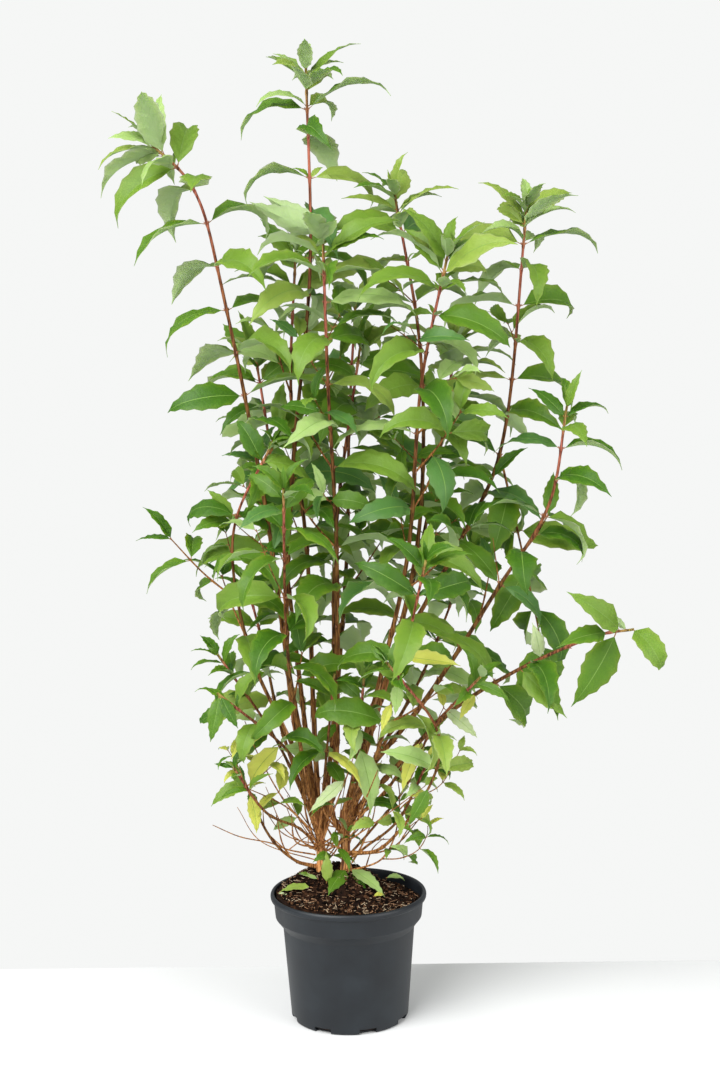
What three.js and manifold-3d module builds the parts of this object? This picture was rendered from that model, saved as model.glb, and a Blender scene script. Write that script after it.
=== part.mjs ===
// A fuzzy deutzia in its nursery pot: two woody stools, the canes that rise from them, and the leafy
// shoots that the canes carry. Millimetres, +Z up, +X to the right and +Y to the back as the plant is
// seen from the front. The origin is the centre of the pot's flat underside.
import * as THREE from "three";
import { mergeVertices } from "three/addons/utils/BufferGeometryUtils.js";
import Module from "manifold-3d";

const wasm = await Module();
wasm.setup();

const DEG = Math.PI / 180;
const GAP = 0.3; // left between pieces that touch

// The pot, with a band at its rim over a collar that steps in to the body. Radii and heights of its
// outside.
const POT = {
  height: 153,
  rimRadius: 94.5,
  rimBand: 7,
  rimWall: 4.5,
  rimStep: 4,
  edgeRound: 1.5,
  collarRadius: 88.5,
  collarFoot: 122,
  bodyTopRadius: 79.5,
  bodyTop: 112,
  footRadius: 71,
  footRound: 3,
  wall: 1.7,
  floor: 2.4,
  segments: 32,
  drains: 8,
  drainWidth: 21,
  drainHeight: 6.5,
  drainDepth: 8,
  drainTurn: 0.4,
};

// The root ball's top is heaped round the stools and falls away to the wall, lowest on the right. It
// keeps a little room in the pot's corners.
const SOIL = {
  crown: 170,
  crownX: -16,
  crownY: 22,
  crownRadius: 27,
  fallRadius: 50,
  fall: 24,
  tilt: 4,
  rings: 7,
  segments: 16,
  cornerRoom: 3,
};

// Each stool is an old stem cut flat where it meets the soil, with a flare there, up to its neck.
const STOOLS = {
  left: { foot: [-32, 22], neck: [-34, 22, 216], footRadius: 7.4, neckRadius: 4.6 },
  right: { foot: [-3, 22], neck: [-3, 22, 246], footRadius: 7.8, neckRadius: 5 },
};
const FLARE_HEIGHT = 16;
const SHANK_RADIUS = 5.4;

// How thick a cane is where it leaves its stool, and how thick its tip is.
const CANE_RADIUS = { foot: 3.3, tip: 1.4 };
const SHANK_SIDES = 7;
const CANE_SIDES = 5;
const STEM_SIDES = 3;
const TWIG_SIDES = 3;
const CANE_RINGS = 45; // between the rings of a limb
const STEM_RINGS = 50;
const TWIG_RINGS = 40;
const SHANK_RINGS = 14;
const TWIG_RADIUS = { foot: 1.3, tip: 0.7 };

// One row for each cane. rise is how high up its stool it starts, as a share of the stool; through are
// the places it passes as it climbs, and tip is where its stem ends. bare is the share of its length
// below its leaves. leaf is the length of its full grown leaves, turn the bearing of its lowest pair in
// degrees, laterals the chance of a side twig at each pair, and arch how far its leaves nod. stout is
// how thick it is beside the others. sides are side shoots, each at a share of the cane's length.
const CANES = [
  {
    name: "left_arch", stool: "left", rise: 0.9,
    through: [[-66, 12, 405], [-94, 2, 633], [-136, -9, 870], [-165, -15, 985]],
    tip: [-219, -20, 1045],
    bare: 0.38, leaf: 114, turn: 30, laterals: 0.1, arch: 84, seed: 176,
  },
  {
    name: "tallest", stool: "left", rise: 1,
    through: [[-69, 19, 415], [-60, 16, 657], [-35, 13, 897]],
    tip: [-36, 10, 1128],
    bare: 0.36, leaf: 113, turn: 80, laterals: 0.15, arch: 95, seed: 386,
  },
  {
    name: "middle_front", stool: "right", rise: 0.5,
    through: [[-20, 14, 252], [-12, 2, 320], [-8, -17, 560], [-15, -38, 767]],
    tip: [-18, -60, 934],
    bare: 0.36, leaf: 116, turn: 60, laterals: 0.25, arch: 91, seed: 152,
  },
  {
    name: "right_upright", stool: "right", rise: 1,
    through: [[20, 22, 310], [62, 30, 450], [92, 25, 600], [94, 15, 799]],
    tip: [64, 5, 990],
    bare: 0.4, leaf: 99, turn: 50, laterals: 0.4, arch: 87, seed: 209,
  },
  {
    name: "right_front", stool: "right", rise: 1,
    through: [[14, 5, 310], [45, -20, 430], [76, -32, 570], [92, -45, 760]],
    tip: [124, -60, 912],
    bare: 0.38, leaf: 113, turn: 40, laterals: 0.5, arch: 89, seed: 194,
  },
  {
    name: "right_tall", stool: "right", rise: 0.9,
    through: [[20, 40, 320], [60, 56, 425], [143, 60, 572], [196, 55, 700]],
    tip: [223, 40, 972],
    bare: 0.42, leaf: 108, turn: 10, laterals: 0.2, arch: 96, seed: 195,
    sides: [{ share: 0.62, length: 230, bearing: 330, open: 150, droop: 5, stout: 1.2 }],
  },
  {
    name: "right_arch", stool: "right", rise: 1,
    through: [[28, 10, 300], [99, -4, 392], [180, -20, 520], [240, -30, 620]],
    tip: [260, -40, 735],
    bare: 0.4, leaf: 100, turn: 0, laterals: 0.5, arch: 111, seed: 266,
  },
  {
    name: "right_low", stool: "right", rise: 0.8,
    through: [[45, -6, 290], [120, -35, 375], [200, -55, 430], [285, -70, 470]],
    tip: [331, -80, 480],
    bare: 0.42, leaf: 109, turn: 80, laterals: 0.3, arch: 112, seed: 158,
  },
  {
    name: "left_middle", stool: "left", rise: 1,
    through: [[-40, 34, 367], [-45, 52, 556], [-62, 66, 745]],
    tip: [-54, 76, 925],
    bare: 0.4, leaf: 109, turn: 80, laterals: 0.4, arch: 85, seed: 36,
  },
  {
    name: "centre", stool: "left", rise: 0.8,
    through: [[-14, 24, 290], [-14, 30, 420], [-8, 34, 600]],
    tip: [24, 30, 815],
    bare: 0.36, leaf: 107, turn: 80, laterals: 0.25, arch: 93, seed: 74,
  },
  {
    name: "left_thin", stool: "left", rise: 0.8,
    through: [[-60, 0, 320], [-112, -20, 450], [-128, -34, 590]],
    tip: [-78, -52, 700],
    bare: 0.38, leaf: 90, turn: 10, laterals: 0.4, arch: 96, seed: 216, stout: 0.8,
  },
  {
    name: "back_left", stool: "left", rise: 0.9,
    through: [[-50, 60, 330], [-72, 112, 520], [-92, 140, 680]],
    tip: [-112, 158, 812],
    bare: 0.34, leaf: 102, turn: 70, laterals: 0.5, arch: 91, seed: 229,
  },
  {
    name: "back_middle", stool: "left", rise: 1,
    through: [[-16, 74, 340], [2, 128, 540], [8, 158, 720]],
    tip: [18, 176, 870],
    bare: 0.34, leaf: 106, turn: 60, laterals: 0.4, arch: 102, seed: 231,
  },
  {
    name: "back_right", stool: "right", rise: 0.9,
    through: [[30, 70, 330], [82, 122, 500], [120, 150, 660]],
    tip: [146, 168, 820],
    bare: 0.34, leaf: 109, turn: 0, laterals: 0.4, arch: 77, seed: 42,
  },
  {
    name: "back_low", stool: "right", rise: 0.8,
    through: [[40, 90, 300], [104, 160, 400]],
    tip: [168, 214, 550],
    bare: 0.36, leaf: 98, turn: 10, laterals: 0.4, arch: 99, seed: 51, stout: 0.8,
  },
  {
    name: "front_left", stool: "left", rise: 0.8,
    through: [[-52, -20, 320], [-66, -70, 470]],
    tip: [-64, -128, 650],
    bare: 0.38, leaf: 103, turn: 50, laterals: 0.5, arch: 108, seed: 205, stout: 0.8,
  },
  {
    name: "front_right", stool: "right", rise: 0.8,
    through: [[30, -30, 310], [62, -86, 430]],
    tip: [92, -140, 570],
    bare: 0.38, leaf: 98, turn: 10, laterals: 0.5, arch: 108, seed: 390, stout: 0.8,
  },
  {
    name: "left_low", stool: "left", rise: 0.9,
    through: [[-58, 50, 270], [-84, 66, 350], [-102, 76, 440]],
    tip: [-122, 84, 520],
    bare: 0.38, leaf: 84, turn: 50, laterals: 0.5, arch: 82, seed: 349, stout: 0.8,
  },
  {
    name: "left_spray", stool: "left", rise: 0.7,
    through: [[-48, 0, 258], [-66, -34, 330]],
    tip: [-146, -78, 412],
    bare: 0.4, leaf: 75, turn: 10, laterals: 0.3, arch: 112, seed: 52, stout: 0.65,
  },
  {
    name: "front_thin", stool: "right", rise: 0.3,
    through: [[44, -16, 212], [98, -66, 300], [104, -92, 370]],
    tip: [46, -122, 455],
    bare: 0.45, leaf: 68, turn: 10, laterals: 0.2, arch: 82, seed: 230, stout: 0.6,
  },
  {
    name: "low_left", stool: "left", rise: 0.06,
    through: [[-66, 6, 190], [-96, -10, 228]],
    tip: [-122, -22, 296],
    bare: 0.5, leaf: 46, turn: 80, laterals: 0.5, arch: 102, seed: 213, stout: 0.42,
  },
  {
    name: "low_left_front", stool: "left", rise: 0.5,
    through: [[-56, -10, 232], [-96, -40, 262]],
    tip: [-132, -60, 322],
    bare: 0.5, leaf: 53, turn: 0, laterals: 0.25, arch: 112, seed: 355, stout: 0.42,
  },
  {
    name: "low_right", stool: "right", rise: 0.15,
    through: [[22, 2, 206], [62, -20, 246]],
    tip: [96, -40, 320],
    bare: 0.45, leaf: 61, turn: 0, laterals: 0.4, arch: 112, seed: 290, stout: 0.42,
  },
  {
    name: "low_right_back", stool: "right", rise: 0.2,
    through: [[30, 44, 216], [72, 66, 262]],
    tip: [104, 84, 330],
    bare: 0.45, leaf: 64, turn: 10, laterals: 0.5, arch: 104, seed: 187, stout: 0.42,
  },
  {
    name: "right_spray", stool: "right", rise: 0.8,
    through: [[42, -12, 272], [90, -44, 350]],
    tip: [156, -88, 430],
    bare: 0.42, leaf: 76, turn: 70, laterals: 0.4, arch: 96, seed: 376, stout: 0.65,
  },
  {
    name: "left_fan", stool: "left", rise: 0.85,
    through: [[-52, 12, 264], [-90, 6, 348]],
    tip: [-152, -8, 446],
    bare: 0.42, leaf: 77, turn: 80, laterals: 0.4, arch: 78, seed: 163, stout: 0.65,
  },
  {
    name: "centre_low", stool: "right", rise: 0.6,
    through: [[6, -12, 256], [14, -34, 334]],
    tip: [22, -58, 424],
    bare: 0.3, leaf: 78, turn: 60, laterals: 0.4, arch: 96, seed: 361, stout: 0.55,
  },
  {
    name: "middle_low", stool: "left", rise: 0.9,
    through: [[-30, 2, 262], [-22, -24, 340]],
    tip: [-12, -48, 428],
    bare: 0.3, leaf: 76, turn: 0, laterals: 0.4, arch: 82, seed: 159, stout: 0.55,
  },
];

// How a shoot grows. Lengths in millimetres, angles in degrees, and each chance as a share of the value
// that it changes.
const GROWTH = {
  first: 20, // from the foot of the stem to its lowest pair
  last: 3, // from the highest pair to the stem's end
  internode: 47,
  crowded: 0.24, // internodes at the tip, as a share of the others
  crowdedReach: 0.8, // how far from the tip they are short, in leaves
  internodeChance: [0.9, 1.1],
  tipLeaf: 0.5,
  pairsToFull: 4,
  quarter: 90, // the turn from one pair to the next
  firstTwig: 5, // pairs above the highest twig
};

// How a leaf is set. open is its angle to the stem, upright and facing how far its face looks up and to
// the front.
const LEAF = {
  lengthChance: [0.88, 1.08],
  openTip: 32,
  openFull: 68,
  openChance: 9,
  archTip: 0.3,
  archChance: [0.72, 1.3],
  wander: 14,
  roll: 38,
  upright: 0.6,
  facing: 0.5,
  width: 0.46,
  widest: 0.4,
  thick: 1.2,
  fold: 0.25,
  sunk: 0.25,
  nod: 1.2,
};

// A side twig beside the stem that it leaves.
const TWIG = {
  length: 95,
  lengthChance: [0.55, 1.15],
  wander: 20,
  open: 42,
  droop: -12,
  internode: 36,
  leaf: 0.8,
  arch: 0.9,
  tipLeaf: 0.75,
  tipArch: 0.6,
  openFull: 62,
  firstBearing: 135,
};
const CLEAR = 0.7; // the room that a leaf or twig keeps round it
const TURNS_TRIED = [0, 18, -18, 36, -36];

// Numbers between 0 and 1 that are the same each time.
function seeded(seed) {
  let state = seed * 7919 + 17;
  return () => {
    state = (Math.imul(state, 1664525) + 1013904223) >>> 0;
    return state / 4294967296;
  };
}

const vec = (p) => new THREE.Vector3(...p);
const mix = (a, b, t) => a + (b - a) * t;
const smooth = (t) => {
  const c = Math.min(1, Math.max(0, t));
  return c * c * (3 - 2 * c);
};

// A smooth path through places in space, read by the distance along it.
class Path {
  constructor(places, steps = 16) {
    const first = places[0].clone().multiplyScalar(2).sub(places[1]);
    const end = places.length - 1;
    const last = places[end].clone().multiplyScalar(2).sub(places[end - 1]);
    const all = [first, ...places, last];
    this.points = [];
    for (let i = 1; i < all.length - 2; i++) {
      for (let k = 0; k < steps; k++) this.points.push(Path.between(all, i, k / steps));
    }
    this.points.push(places[end].clone());
    this.far = [0];
    for (let i = 1; i < this.points.length; i++) {
      this.far.push(this.far[i - 1] + this.points[i].distanceTo(this.points[i - 1]));
    }
    this.length = this.far[this.far.length - 1];
  }

  static between(all, i, t) {
    const [a, b, c, d] = [all[i - 1], all[i], all[i + 1], all[i + 2]];
    const weights = [
      (-t + 2 * t * t - t * t * t) / 2,
      (2 - 5 * t * t + 3 * t * t * t) / 2,
      (t + 4 * t * t - 3 * t * t * t) / 2,
      (-t * t + t * t * t) / 2,
    ];
    const p = new THREE.Vector3();
    [a, b, c, d].forEach((q, n) => p.addScaledVector(q, weights[n]));
    return p;
  }

  at(distance) {
    const want = Math.min(this.length, Math.max(0, distance));
    let i = 1;
    while (i < this.far.length - 1 && this.far[i] < want) i++;
    const t = (want - this.far[i - 1]) / (this.far[i] - this.far[i - 1]);
    return this.points[i - 1].clone().lerp(this.points[i], t);
  }

  heading(distance) {
    const step = 4;
    return this.at(distance + step).sub(this.at(distance - step)).normalize();
  }
}

// The two directions across a stem: one to the right and one to the back.
function across(heading) {
  const right = new THREE.Vector3(0, 1, 0).cross(heading).normalize();
  const back = heading.clone().cross(right);
  return { right, back };
}

function outward(heading, bearing) {
  const { right, back } = across(heading);
  return right.multiplyScalar(Math.cos(bearing)).addScaledVector(back, Math.sin(bearing));
}

// Only its shape is kept of a geometry: one vertex for each place.
const SAME_PLACE = 1e-3;
function bare(geometry) {
  geometry.deleteAttribute("normal");
  geometry.deleteAttribute("uv");
  return mergeVertices(geometry, SAME_PLACE);
}

function solidOf(geometry) {
  const clean = bare(geometry);
  return new wasm.Manifold(
    new wasm.Mesh({
      numProp: 3,
      vertProperties: clean.attributes.position.array,
      triVerts: new Uint32Array(clean.index.array),
    }),
  );
}

function geometryOf(solid) {
  const mesh = solid.getMesh();
  const geometry = new THREE.BufferGeometry();
  geometry.setAttribute("position", new THREE.BufferAttribute(mesh.vertProperties, 3));
  geometry.setIndex(new THREE.BufferAttribute(mesh.triVerts, 1));
  return geometry;
}

const mainBody = (solid) => solid.decompose().reduce((a, b) => (b.volume() > a.volume() ? b : a));

// A solid's mesh with its vertices set on a fine grid, or null where that leaves an edge that doesn't
// join exactly two faces.
const GRID = 0.002;
function onGrid(solid) {
  const mesh = solid.getMesh();
  const places = new Map();
  const position = [];
  const vertexOf = [];
  for (let i = 0; i < mesh.numVert; i++) {
    const at = [0, 1, 2].map((k) => Math.round(mesh.vertProperties[i * 3 + k] / GRID));
    const key = at.join(",");
    if (!places.has(key)) {
      places.set(key, places.size);
      position.push(...at.map((n) => n * GRID));
    }
    vertexOf.push(places.get(key));
  }
  const index = [];
  const edges = new Map();
  for (let i = 0; i < mesh.triVerts.length; i += 3) {
    const face = [0, 1, 2].map((k) => vertexOf[mesh.triVerts[i + k]]);
    if (new Set(face).size < 3) continue;
    index.push(...face);
    for (let k = 0; k < 3; k++) {
      const edge = face[k] + ">" + face[(k + 1) % 3];
      edges.set(edge, (edges.get(edge) ?? 0) + 1);
    }
  }
  for (const [edge, count] of edges) {
    if (count !== 1 || !edges.has(edge.split(">").reverse().join(">"))) return null;
  }
  const geometry = new THREE.BufferGeometry();
  geometry.setAttribute("position", new THREE.Float32BufferAttribute(position, 3));
  geometry.setIndex(index);
  return geometry;
}

// Joins solids that cross into one body. Sealed hollows are filled and loose scraps dropped, and a
// piece that makes an unsound join is left out.
function fuse(solids) {
  let whole = solids[0];
  let geometry = onGrid(whole);
  for (const piece of solids.slice(1)) {
    const more = mainBody(whole.add(piece));
    const sound = onGrid(more);
    if (!sound) continue;
    whole = more;
    geometry = sound;
  }
  return geometry;
}

// A limb of round section along a path, from one distance to another, made of straight lengths between
// its rings. Its radius is given by a function of the distance.
class Limb {
  constructor(path, from, to, radiusAt, sides, spacing) {
    Object.assign(this, { path, from, to, radiusAt, sides });
    this.rings = Math.max(1, Math.round((to - from) / spacing));
  }

  // The middle of the limb at a distance along its path.
  at(distance) {
    const step = (this.to - this.from) / this.rings;
    const ring = Math.min(this.rings - 1, Math.floor((distance - this.from) / step));
    const start = this.from + ring * step;
    return this.path.at(start).lerp(this.path.at(start + step), (distance - start) / step);
  }

  shape(extra = 0) {
    const tube = new THREE.CylinderGeometry(1, 1, 1, this.sides, this.rings);
    const position = tube.attributes.position;
    for (let i = 0; i < position.count; i++) {
      const distance = mix(this.from, this.to, position.getY(i) + 0.5);
      const { right, back } = across(this.path.heading(distance));
      const radius = this.radiusAt(distance) + extra;
      const p = this.path.at(distance);
      p.addScaledVector(right, position.getX(i) * radius);
      p.addScaledVector(back, -position.getZ(i) * radius);
      position.setXYZ(i, p.x, p.y, p.z);
    }
    return bare(tube);
  }
}

// Places along the rib of a leaf that leaves its root along direction and nods by arch. up is the way
// its upper face looks at the root.
function rib(leaf, share) {
  const steps = 10;
  const p = leaf.root.clone();
  for (let i = 0; i < Math.round(share * steps); i++) {
    const nod = leaf.arch * ((i + 0.5) / steps) ** LEAF.nod;
    p.addScaledVector(leaf.direction, (Math.cos(nod) * leaf.length) / steps);
    p.addScaledVector(leaf.up, (-Math.sin(nod) * leaf.length) / steps);
  }
  const nod = leaf.arch * share ** LEAF.nod;
  const face = leaf.up.clone().multiplyScalar(Math.cos(nod));
  face.addScaledVector(leaf.direction, Math.sin(nod));
  return { p, face };
}

// A leaf as a folded blade of eight faces: root, tip, two edges, and the two sides of its rib.
function blade(leaf, extra = 0) {
  const side = leaf.direction.clone().cross(leaf.up);
  const half = (leaf.length * LEAF.width) / 2 + extra;
  const thick = LEAF.thick / 2 + extra;
  const wide = rib(leaf, LEAF.widest);
  const edge = (sign) =>
    wide.p.clone().addScaledVector(side, sign * half).addScaledVector(wide.face, half * LEAF.fold);
  const corners = {
    "1,0,0": rib(leaf, 1).p,
    "-1,0,0": leaf.root.clone().addScaledVector(leaf.direction, -LEAF.sunk * leaf.stem),
    "0,0,1": edge(1),
    "0,0,-1": edge(-1),
    "0,1,0": wide.p.clone().addScaledVector(wide.face, thick),
    "0,-1,0": wide.p.clone().addScaledVector(wide.face, -thick),
  };
  const shape = bare(new THREE.OctahedronGeometry(1));
  const position = shape.attributes.position;
  for (let i = 0; i < position.count; i++) {
    const key = [position.getX(i), position.getY(i), position.getZ(i)].map((n) => Math.round(n) + 0);
    const p = corners[key.join(",")];
    position.setXYZ(i, p.x, p.y, p.z);
  }
  return shape;
}

// What the plant has put in its space so far, to keep new leaves and twigs clear of it.
class Space {
  constructor() {
    this.items = [];
  }

  static item(geometry, key) {
    const position = geometry.attributes.position;
    const at = (i) => new THREE.Vector3().fromBufferAttribute(position, i);
    const triangles = [];
    const index = geometry.index.array;
    for (let i = 0; i < index.length; i += 3) {
      triangles.push([at(index[i]), at(index[i + 1]), at(index[i + 2])]);
    }
    geometry.computeBoundingSphere();
    return { triangles, key, sphere: geometry.boundingSphere };
  }

  put(geometry, key) {
    this.items.push(Space.item(geometry, key));
  }

  clear(geometry, keys) {
    const mine = Space.item(geometry, "");
    return this.items.every((other) => {
      if (keys.includes(other.key)) return true;
      const reach = mine.sphere.radius + other.sphere.radius;
      if (mine.sphere.center.distanceTo(other.sphere.center) > reach) return true;
      return !Space.cross(mine.triangles, other.triangles);
    });
  }

  static cross(some, others) {
    return some.some((a) => others.some((b) => Space.pierces(a, b) || Space.pierces(b, a)));
  }

  // Whether an edge of triangle a goes through triangle b.
  static pierces(a, b) {
    const u = b[1].clone().sub(b[0]);
    const v = b[2].clone().sub(b[0]);
    const n = u.clone().cross(v);
    const heights = a.map((p) => p.clone().sub(b[0]).dot(n));
    for (let i = 0; i < 3; i++) {
      const j = (i + 1) % 3;
      if (heights[i] * heights[j] >= 0) continue;
      const t = heights[i] / (heights[i] - heights[j]);
      const p = a[i].clone().lerp(a[j], t).sub(b[0]);
      const uu = u.dot(u);
      const uv = u.dot(v);
      const vv = v.dot(v);
      const pu = p.dot(u);
      const pv = p.dot(v);
      const det = uu * vv - uv * uv;
      const s = (vv * pu - uv * pv) / det;
      const r = (uu * pv - uv * pu) / det;
      if (s >= 0 && r >= 0 && s + r <= 1) return true;
    }
    return false;
  }
}

// A pair of leaves, set opposite each other on a stem. Each is drawn by chance once, then turned until
// it is clear of the rest of the plant, or left out.
function growPair(site, space, random, key, leaves) {
  for (const half of [0, 180]) {
    const length = site.leaf * mix(...LEAF.lengthChance, random());
    const open = (site.open + mix(-LEAF.openChance, LEAF.openChance, random())) * DEG;
    const arch = site.arch * mix(...LEAF.archChance, random()) * DEG;
    const roll = mix(-LEAF.roll, LEAF.roll, random()) * DEG;
    const wander = mix(-LEAF.wander, LEAF.wander, random());
    for (const turn of TURNS_TRIED) {
      const bearing = (site.bearing + half + wander + turn) * DEG;
      const out = outward(site.heading, bearing);
      const direction = site.heading.clone().multiplyScalar(Math.cos(open));
      direction.addScaledVector(out, Math.sin(open)).normalize();
      const up = site.heading.clone().lerp(new THREE.Vector3(0, 0, 1), LEAF.upright);
      up.y -= LEAF.facing;
      up.addScaledVector(direction, -up.dot(direction)).normalize();
      up.applyAxisAngle(direction, roll);
      const leaf = { root: site.place, direction, up, length, arch, stem: site.stem };
      if (space.clear(blade(leaf, CLEAR), [key, site.stemKey])) {
        const shape = blade(leaf);
        space.put(shape, key);
        leaves.push(shape);
        break;
      }
    }
  }
}

// A side twig with its own pairs of leaves, the last one at its tip.
function growTwig(site, space, random, key, parts) {
  const side = random() < 0.5 ? 0 : 180;
  const twig = {
    length: TWIG.length * mix(...TWIG.lengthChance, random()),
    bearing: site.bearing + side + mix(-TWIG.wander, TWIG.wander, random()),
    open: TWIG.open,
    droop: TWIG.droop,
    leaf: site.leaf * TWIG.leaf,
    arch: site.arch * TWIG.arch,
    internode: TWIG.internode,
    stout: 1,
    seed: Math.floor(random() * 100000),
  };
  growSide(twig, site, space, key, parts);
}

// A twig or side shoot from a place on its stem. It leaves at an angle and droops on its way, and is
// turned until it is clear of the rest of the plant, or left out.
function growSide(twig, site, space, key, parts) {
  const random = seeded(twig.seed);
  const { length } = twig;
  const pairs = Math.max(1, Math.round(length / twig.internode) - 1);
  for (const turn of TURNS_TRIED) {
    const out = outward(site.heading, (twig.bearing + turn) * DEG);
    const open = twig.open * DEG;
    const start = site.heading.clone().multiplyScalar(Math.cos(open)).addScaledVector(out, Math.sin(open));
    const middle = site.place.clone().addScaledVector(start, length / 2);
    const tip = middle.clone().addScaledVector(start, length / 2);
    tip.z -= (Math.sin(twig.droop * DEG) * length) / 2;
    const path = new Path([site.place, middle, tip], 6);
    const radiusAt = (d) => mix(TWIG_RADIUS.foot, TWIG_RADIUS.tip, d / path.length) * twig.stout;
    const wood = new Limb(path, 0, path.length, radiusAt, TWIG_SIDES, TWIG_RINGS);
    if (!space.clear(wood.shape(CLEAR), [key, site.stemKey])) continue;
    const shape = wood.shape();
    const twigKey = key + "twig" + twig.seed;
    space.put(shape, twigKey);
    parts.push(shape);
    for (let n = 1; n <= pairs + 1; n++) {
      const last = n === pairs + 1;
      const distance = last ? path.length - GROWTH.last : (path.length * n) / (pairs + 1);
      const spot = {
        place: wood.at(distance),
        heading: path.heading(distance),
        bearing: TWIG.firstBearing + GROWTH.quarter * (n - 1),
        leaf: twig.leaf * (last ? TWIG.tipLeaf : 1),
        open: last ? LEAF.openTip : TWIG.openFull,
        arch: twig.arch * (last ? TWIG.tipArch : 1),
        stemKey: twigKey,
        stem: radiusAt(distance),
      };
      growPair(spot, space, random, twigKey + n, parts);
    }
    return;
  }
}

// The leafy part of a cane: pairs of leaves, each a quarter turn from the last, with side twigs lower
// down and small upright leaves at the tip.
function growShoot(cane, space) {
  const random = seeded(cane.seed);
  const { path, leafFrom } = cane;
  const parts = [];
  const stemKey = cane.name + "stem";
  for (const [n, side] of (cane.sides ?? []).entries()) {
    const along = path.length * side.share;
    const site = { place: cane.wood.at(along), heading: path.heading(along), stemKey };
    const more = { leaf: cane.leaf, arch: cane.arch, internode: GROWTH.internode, seed: cane.seed + n };
    growSide({ ...more, ...side }, site, space, stemKey + n, parts);
  }
  const places = [];
  let toTip = GROWTH.last;
  while (toTip < path.length - leafFrom - GROWTH.first) {
    places.unshift(path.length - toTip);
    const spread = mix(GROWTH.crowded, 1, smooth(toTip / (GROWTH.crowdedReach * cane.leaf)));
    toTip += GROWTH.internode * spread * mix(...GROWTH.internodeChance, random());
  }
  places.forEach((along, n) => {
    const fromTip = places.length - 1 - n;
    const grown = Math.min(1, fromTip / GROWTH.pairsToFull);
    const site = {
      place: cane.wood.at(along),
      heading: path.heading(along),
      bearing: cane.turn + GROWTH.quarter * n,
      leaf: cane.leaf * mix(GROWTH.tipLeaf, 1, grown),
      open: mix(LEAF.openTip, LEAF.openFull, grown),
      arch: cane.arch * mix(LEAF.archTip, 1, grown),
      stemKey,
      stem: cane.radiusAt(along),
    };
    const key = cane.name + n;
    const branches = random() < cane.laterals && fromTip > GROWTH.firstTwig;
    if (branches) growTwig(site, space, random, key, parts);
    growPair(site, space, random, key, parts);
  });
  return parts;
}

// The pot, turned from its outline, with drain slots round the edge of its floor.
function makePot() {
  const p = POT;
  const round = p.edgeRound;
  const band = p.height - p.rimBand;
  const outline = [
    [0, 0],
    [p.footRadius - p.footRound, 0],
    [p.footRadius - p.footRound * 0.3, p.footRound * 0.3],
    [p.footRadius, p.footRound],
    [p.bodyTopRadius, p.bodyTop],
    [p.collarRadius - round, p.collarFoot],
    [p.collarRadius, p.collarFoot + round],
    [p.rimRadius - p.rimStep, band - round],
    [p.rimRadius - round / 3, band],
    [p.rimRadius, p.height - 2 * round],
    [p.rimRadius - round, p.height],
    [p.rimRadius - p.rimWall, p.height - round / 3],
    [p.rimRadius - p.rimStep - p.wall, band],
    [p.collarRadius - p.wall, p.collarFoot + 2 * round],
    [p.bodyTopRadius - p.wall, p.bodyTop + round / 3],
    [p.footRadius - p.wall, p.footRound + round],
    [p.footRadius - p.footRound, p.floor],
    [0, p.floor],
  ].map(([r, z]) => new THREE.Vector2(r, z));
  const turned = new THREE.LatheGeometry(outline, p.segments);
  turned.rotateX(90 * DEG);
  let pot = solidOf(turned);
  for (let n = 0; n < p.drains; n++) {
    const slot = new THREE.BoxGeometry(p.drainDepth * 2, p.drainWidth, p.drainHeight * 2);
    slot.translate(p.footRadius, 0, 0);
    slot.rotateZ((360 / p.drains) * (n + p.drainTurn) * DEG);
    pot = pot.subtract(solidOf(slot));
  }
  return geometryOf(pot);
}

function soilHeight(x, y) {
  const s = SOIL;
  const away = Math.hypot(x - s.crownX, y - s.crownY);
  const drop = s.fall + (s.tilt * (x + y)) / POT.bodyTopRadius;
  return s.crown - drop * smooth((away - s.crownRadius) / s.fallRadius);
}

// The root ball fills the pot to its wall, and its top is heaped.
function makeSoil() {
  const p = POT;
  const room = SOIL.cornerRoom;
  const inside = (r) => r - p.wall - GAP;
  const edge = inside(p.collarRadius) + room / 3;
  const top = Array.from({ length: SOIL.rings }, (_, n) => [edge * (1 - n / SOIL.rings), p.height]);
  const outline = [
    [0, p.floor + GAP],
    [p.footRadius - p.footRound - room, p.floor + GAP],
    [inside(p.footRadius) - room / 3, p.footRound + room],
    [inside(p.bodyTopRadius), p.bodyTop + room / 2],
    [inside(p.collarRadius) - room / 6, p.collarFoot + room],
    ...top,
    [0, p.height],
  ].map(([r, z]) => new THREE.Vector2(r, z));
  const ball = new THREE.LatheGeometry(outline, SOIL.segments);
  ball.rotateX(90 * DEG);
  const position = ball.attributes.position;
  for (let i = 0; i < position.count; i++) {
    if (Math.abs(position.getZ(i) - p.height) > 0.01) continue;
    position.setZ(i, soilHeight(position.getX(i), position.getY(i)));
  }
  return bare(ball);
}

const canes = CANES.map((row) => {
  const stool = STOOLS[row.stool];
  const foot = new THREE.Vector3(...stool.foot, SOIL.crown + GAP);
  const start = foot.lerp(vec(stool.neck), row.rise);
  const path = new Path([start, ...row.through.map(vec), vec(row.tip)]);
  const radiusAt = (d) => mix(CANE_RADIUS.foot, CANE_RADIUS.tip, d / path.length) * (row.stout ?? 1);
  return { ...row, path, radiusAt };
});

// A stool's old stem, thickest at its flare.
const shanks = Object.entries(STOOLS).map(([name, stool]) => {
  const path = new Path([new THREE.Vector3(...stool.foot, SOIL.crown + GAP), vec(stool.neck)], 4);
  const radiusAt = (d) =>
    d < FLARE_HEIGHT
      ? mix(stool.footRadius, SHANK_RADIUS, smooth(d / FLARE_HEIGHT))
      : mix(SHANK_RADIUS, stool.neckRadius, (d - FLARE_HEIGHT) / (path.length - FLARE_HEIGHT));
  return { name, path, radiusAt };
});

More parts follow.
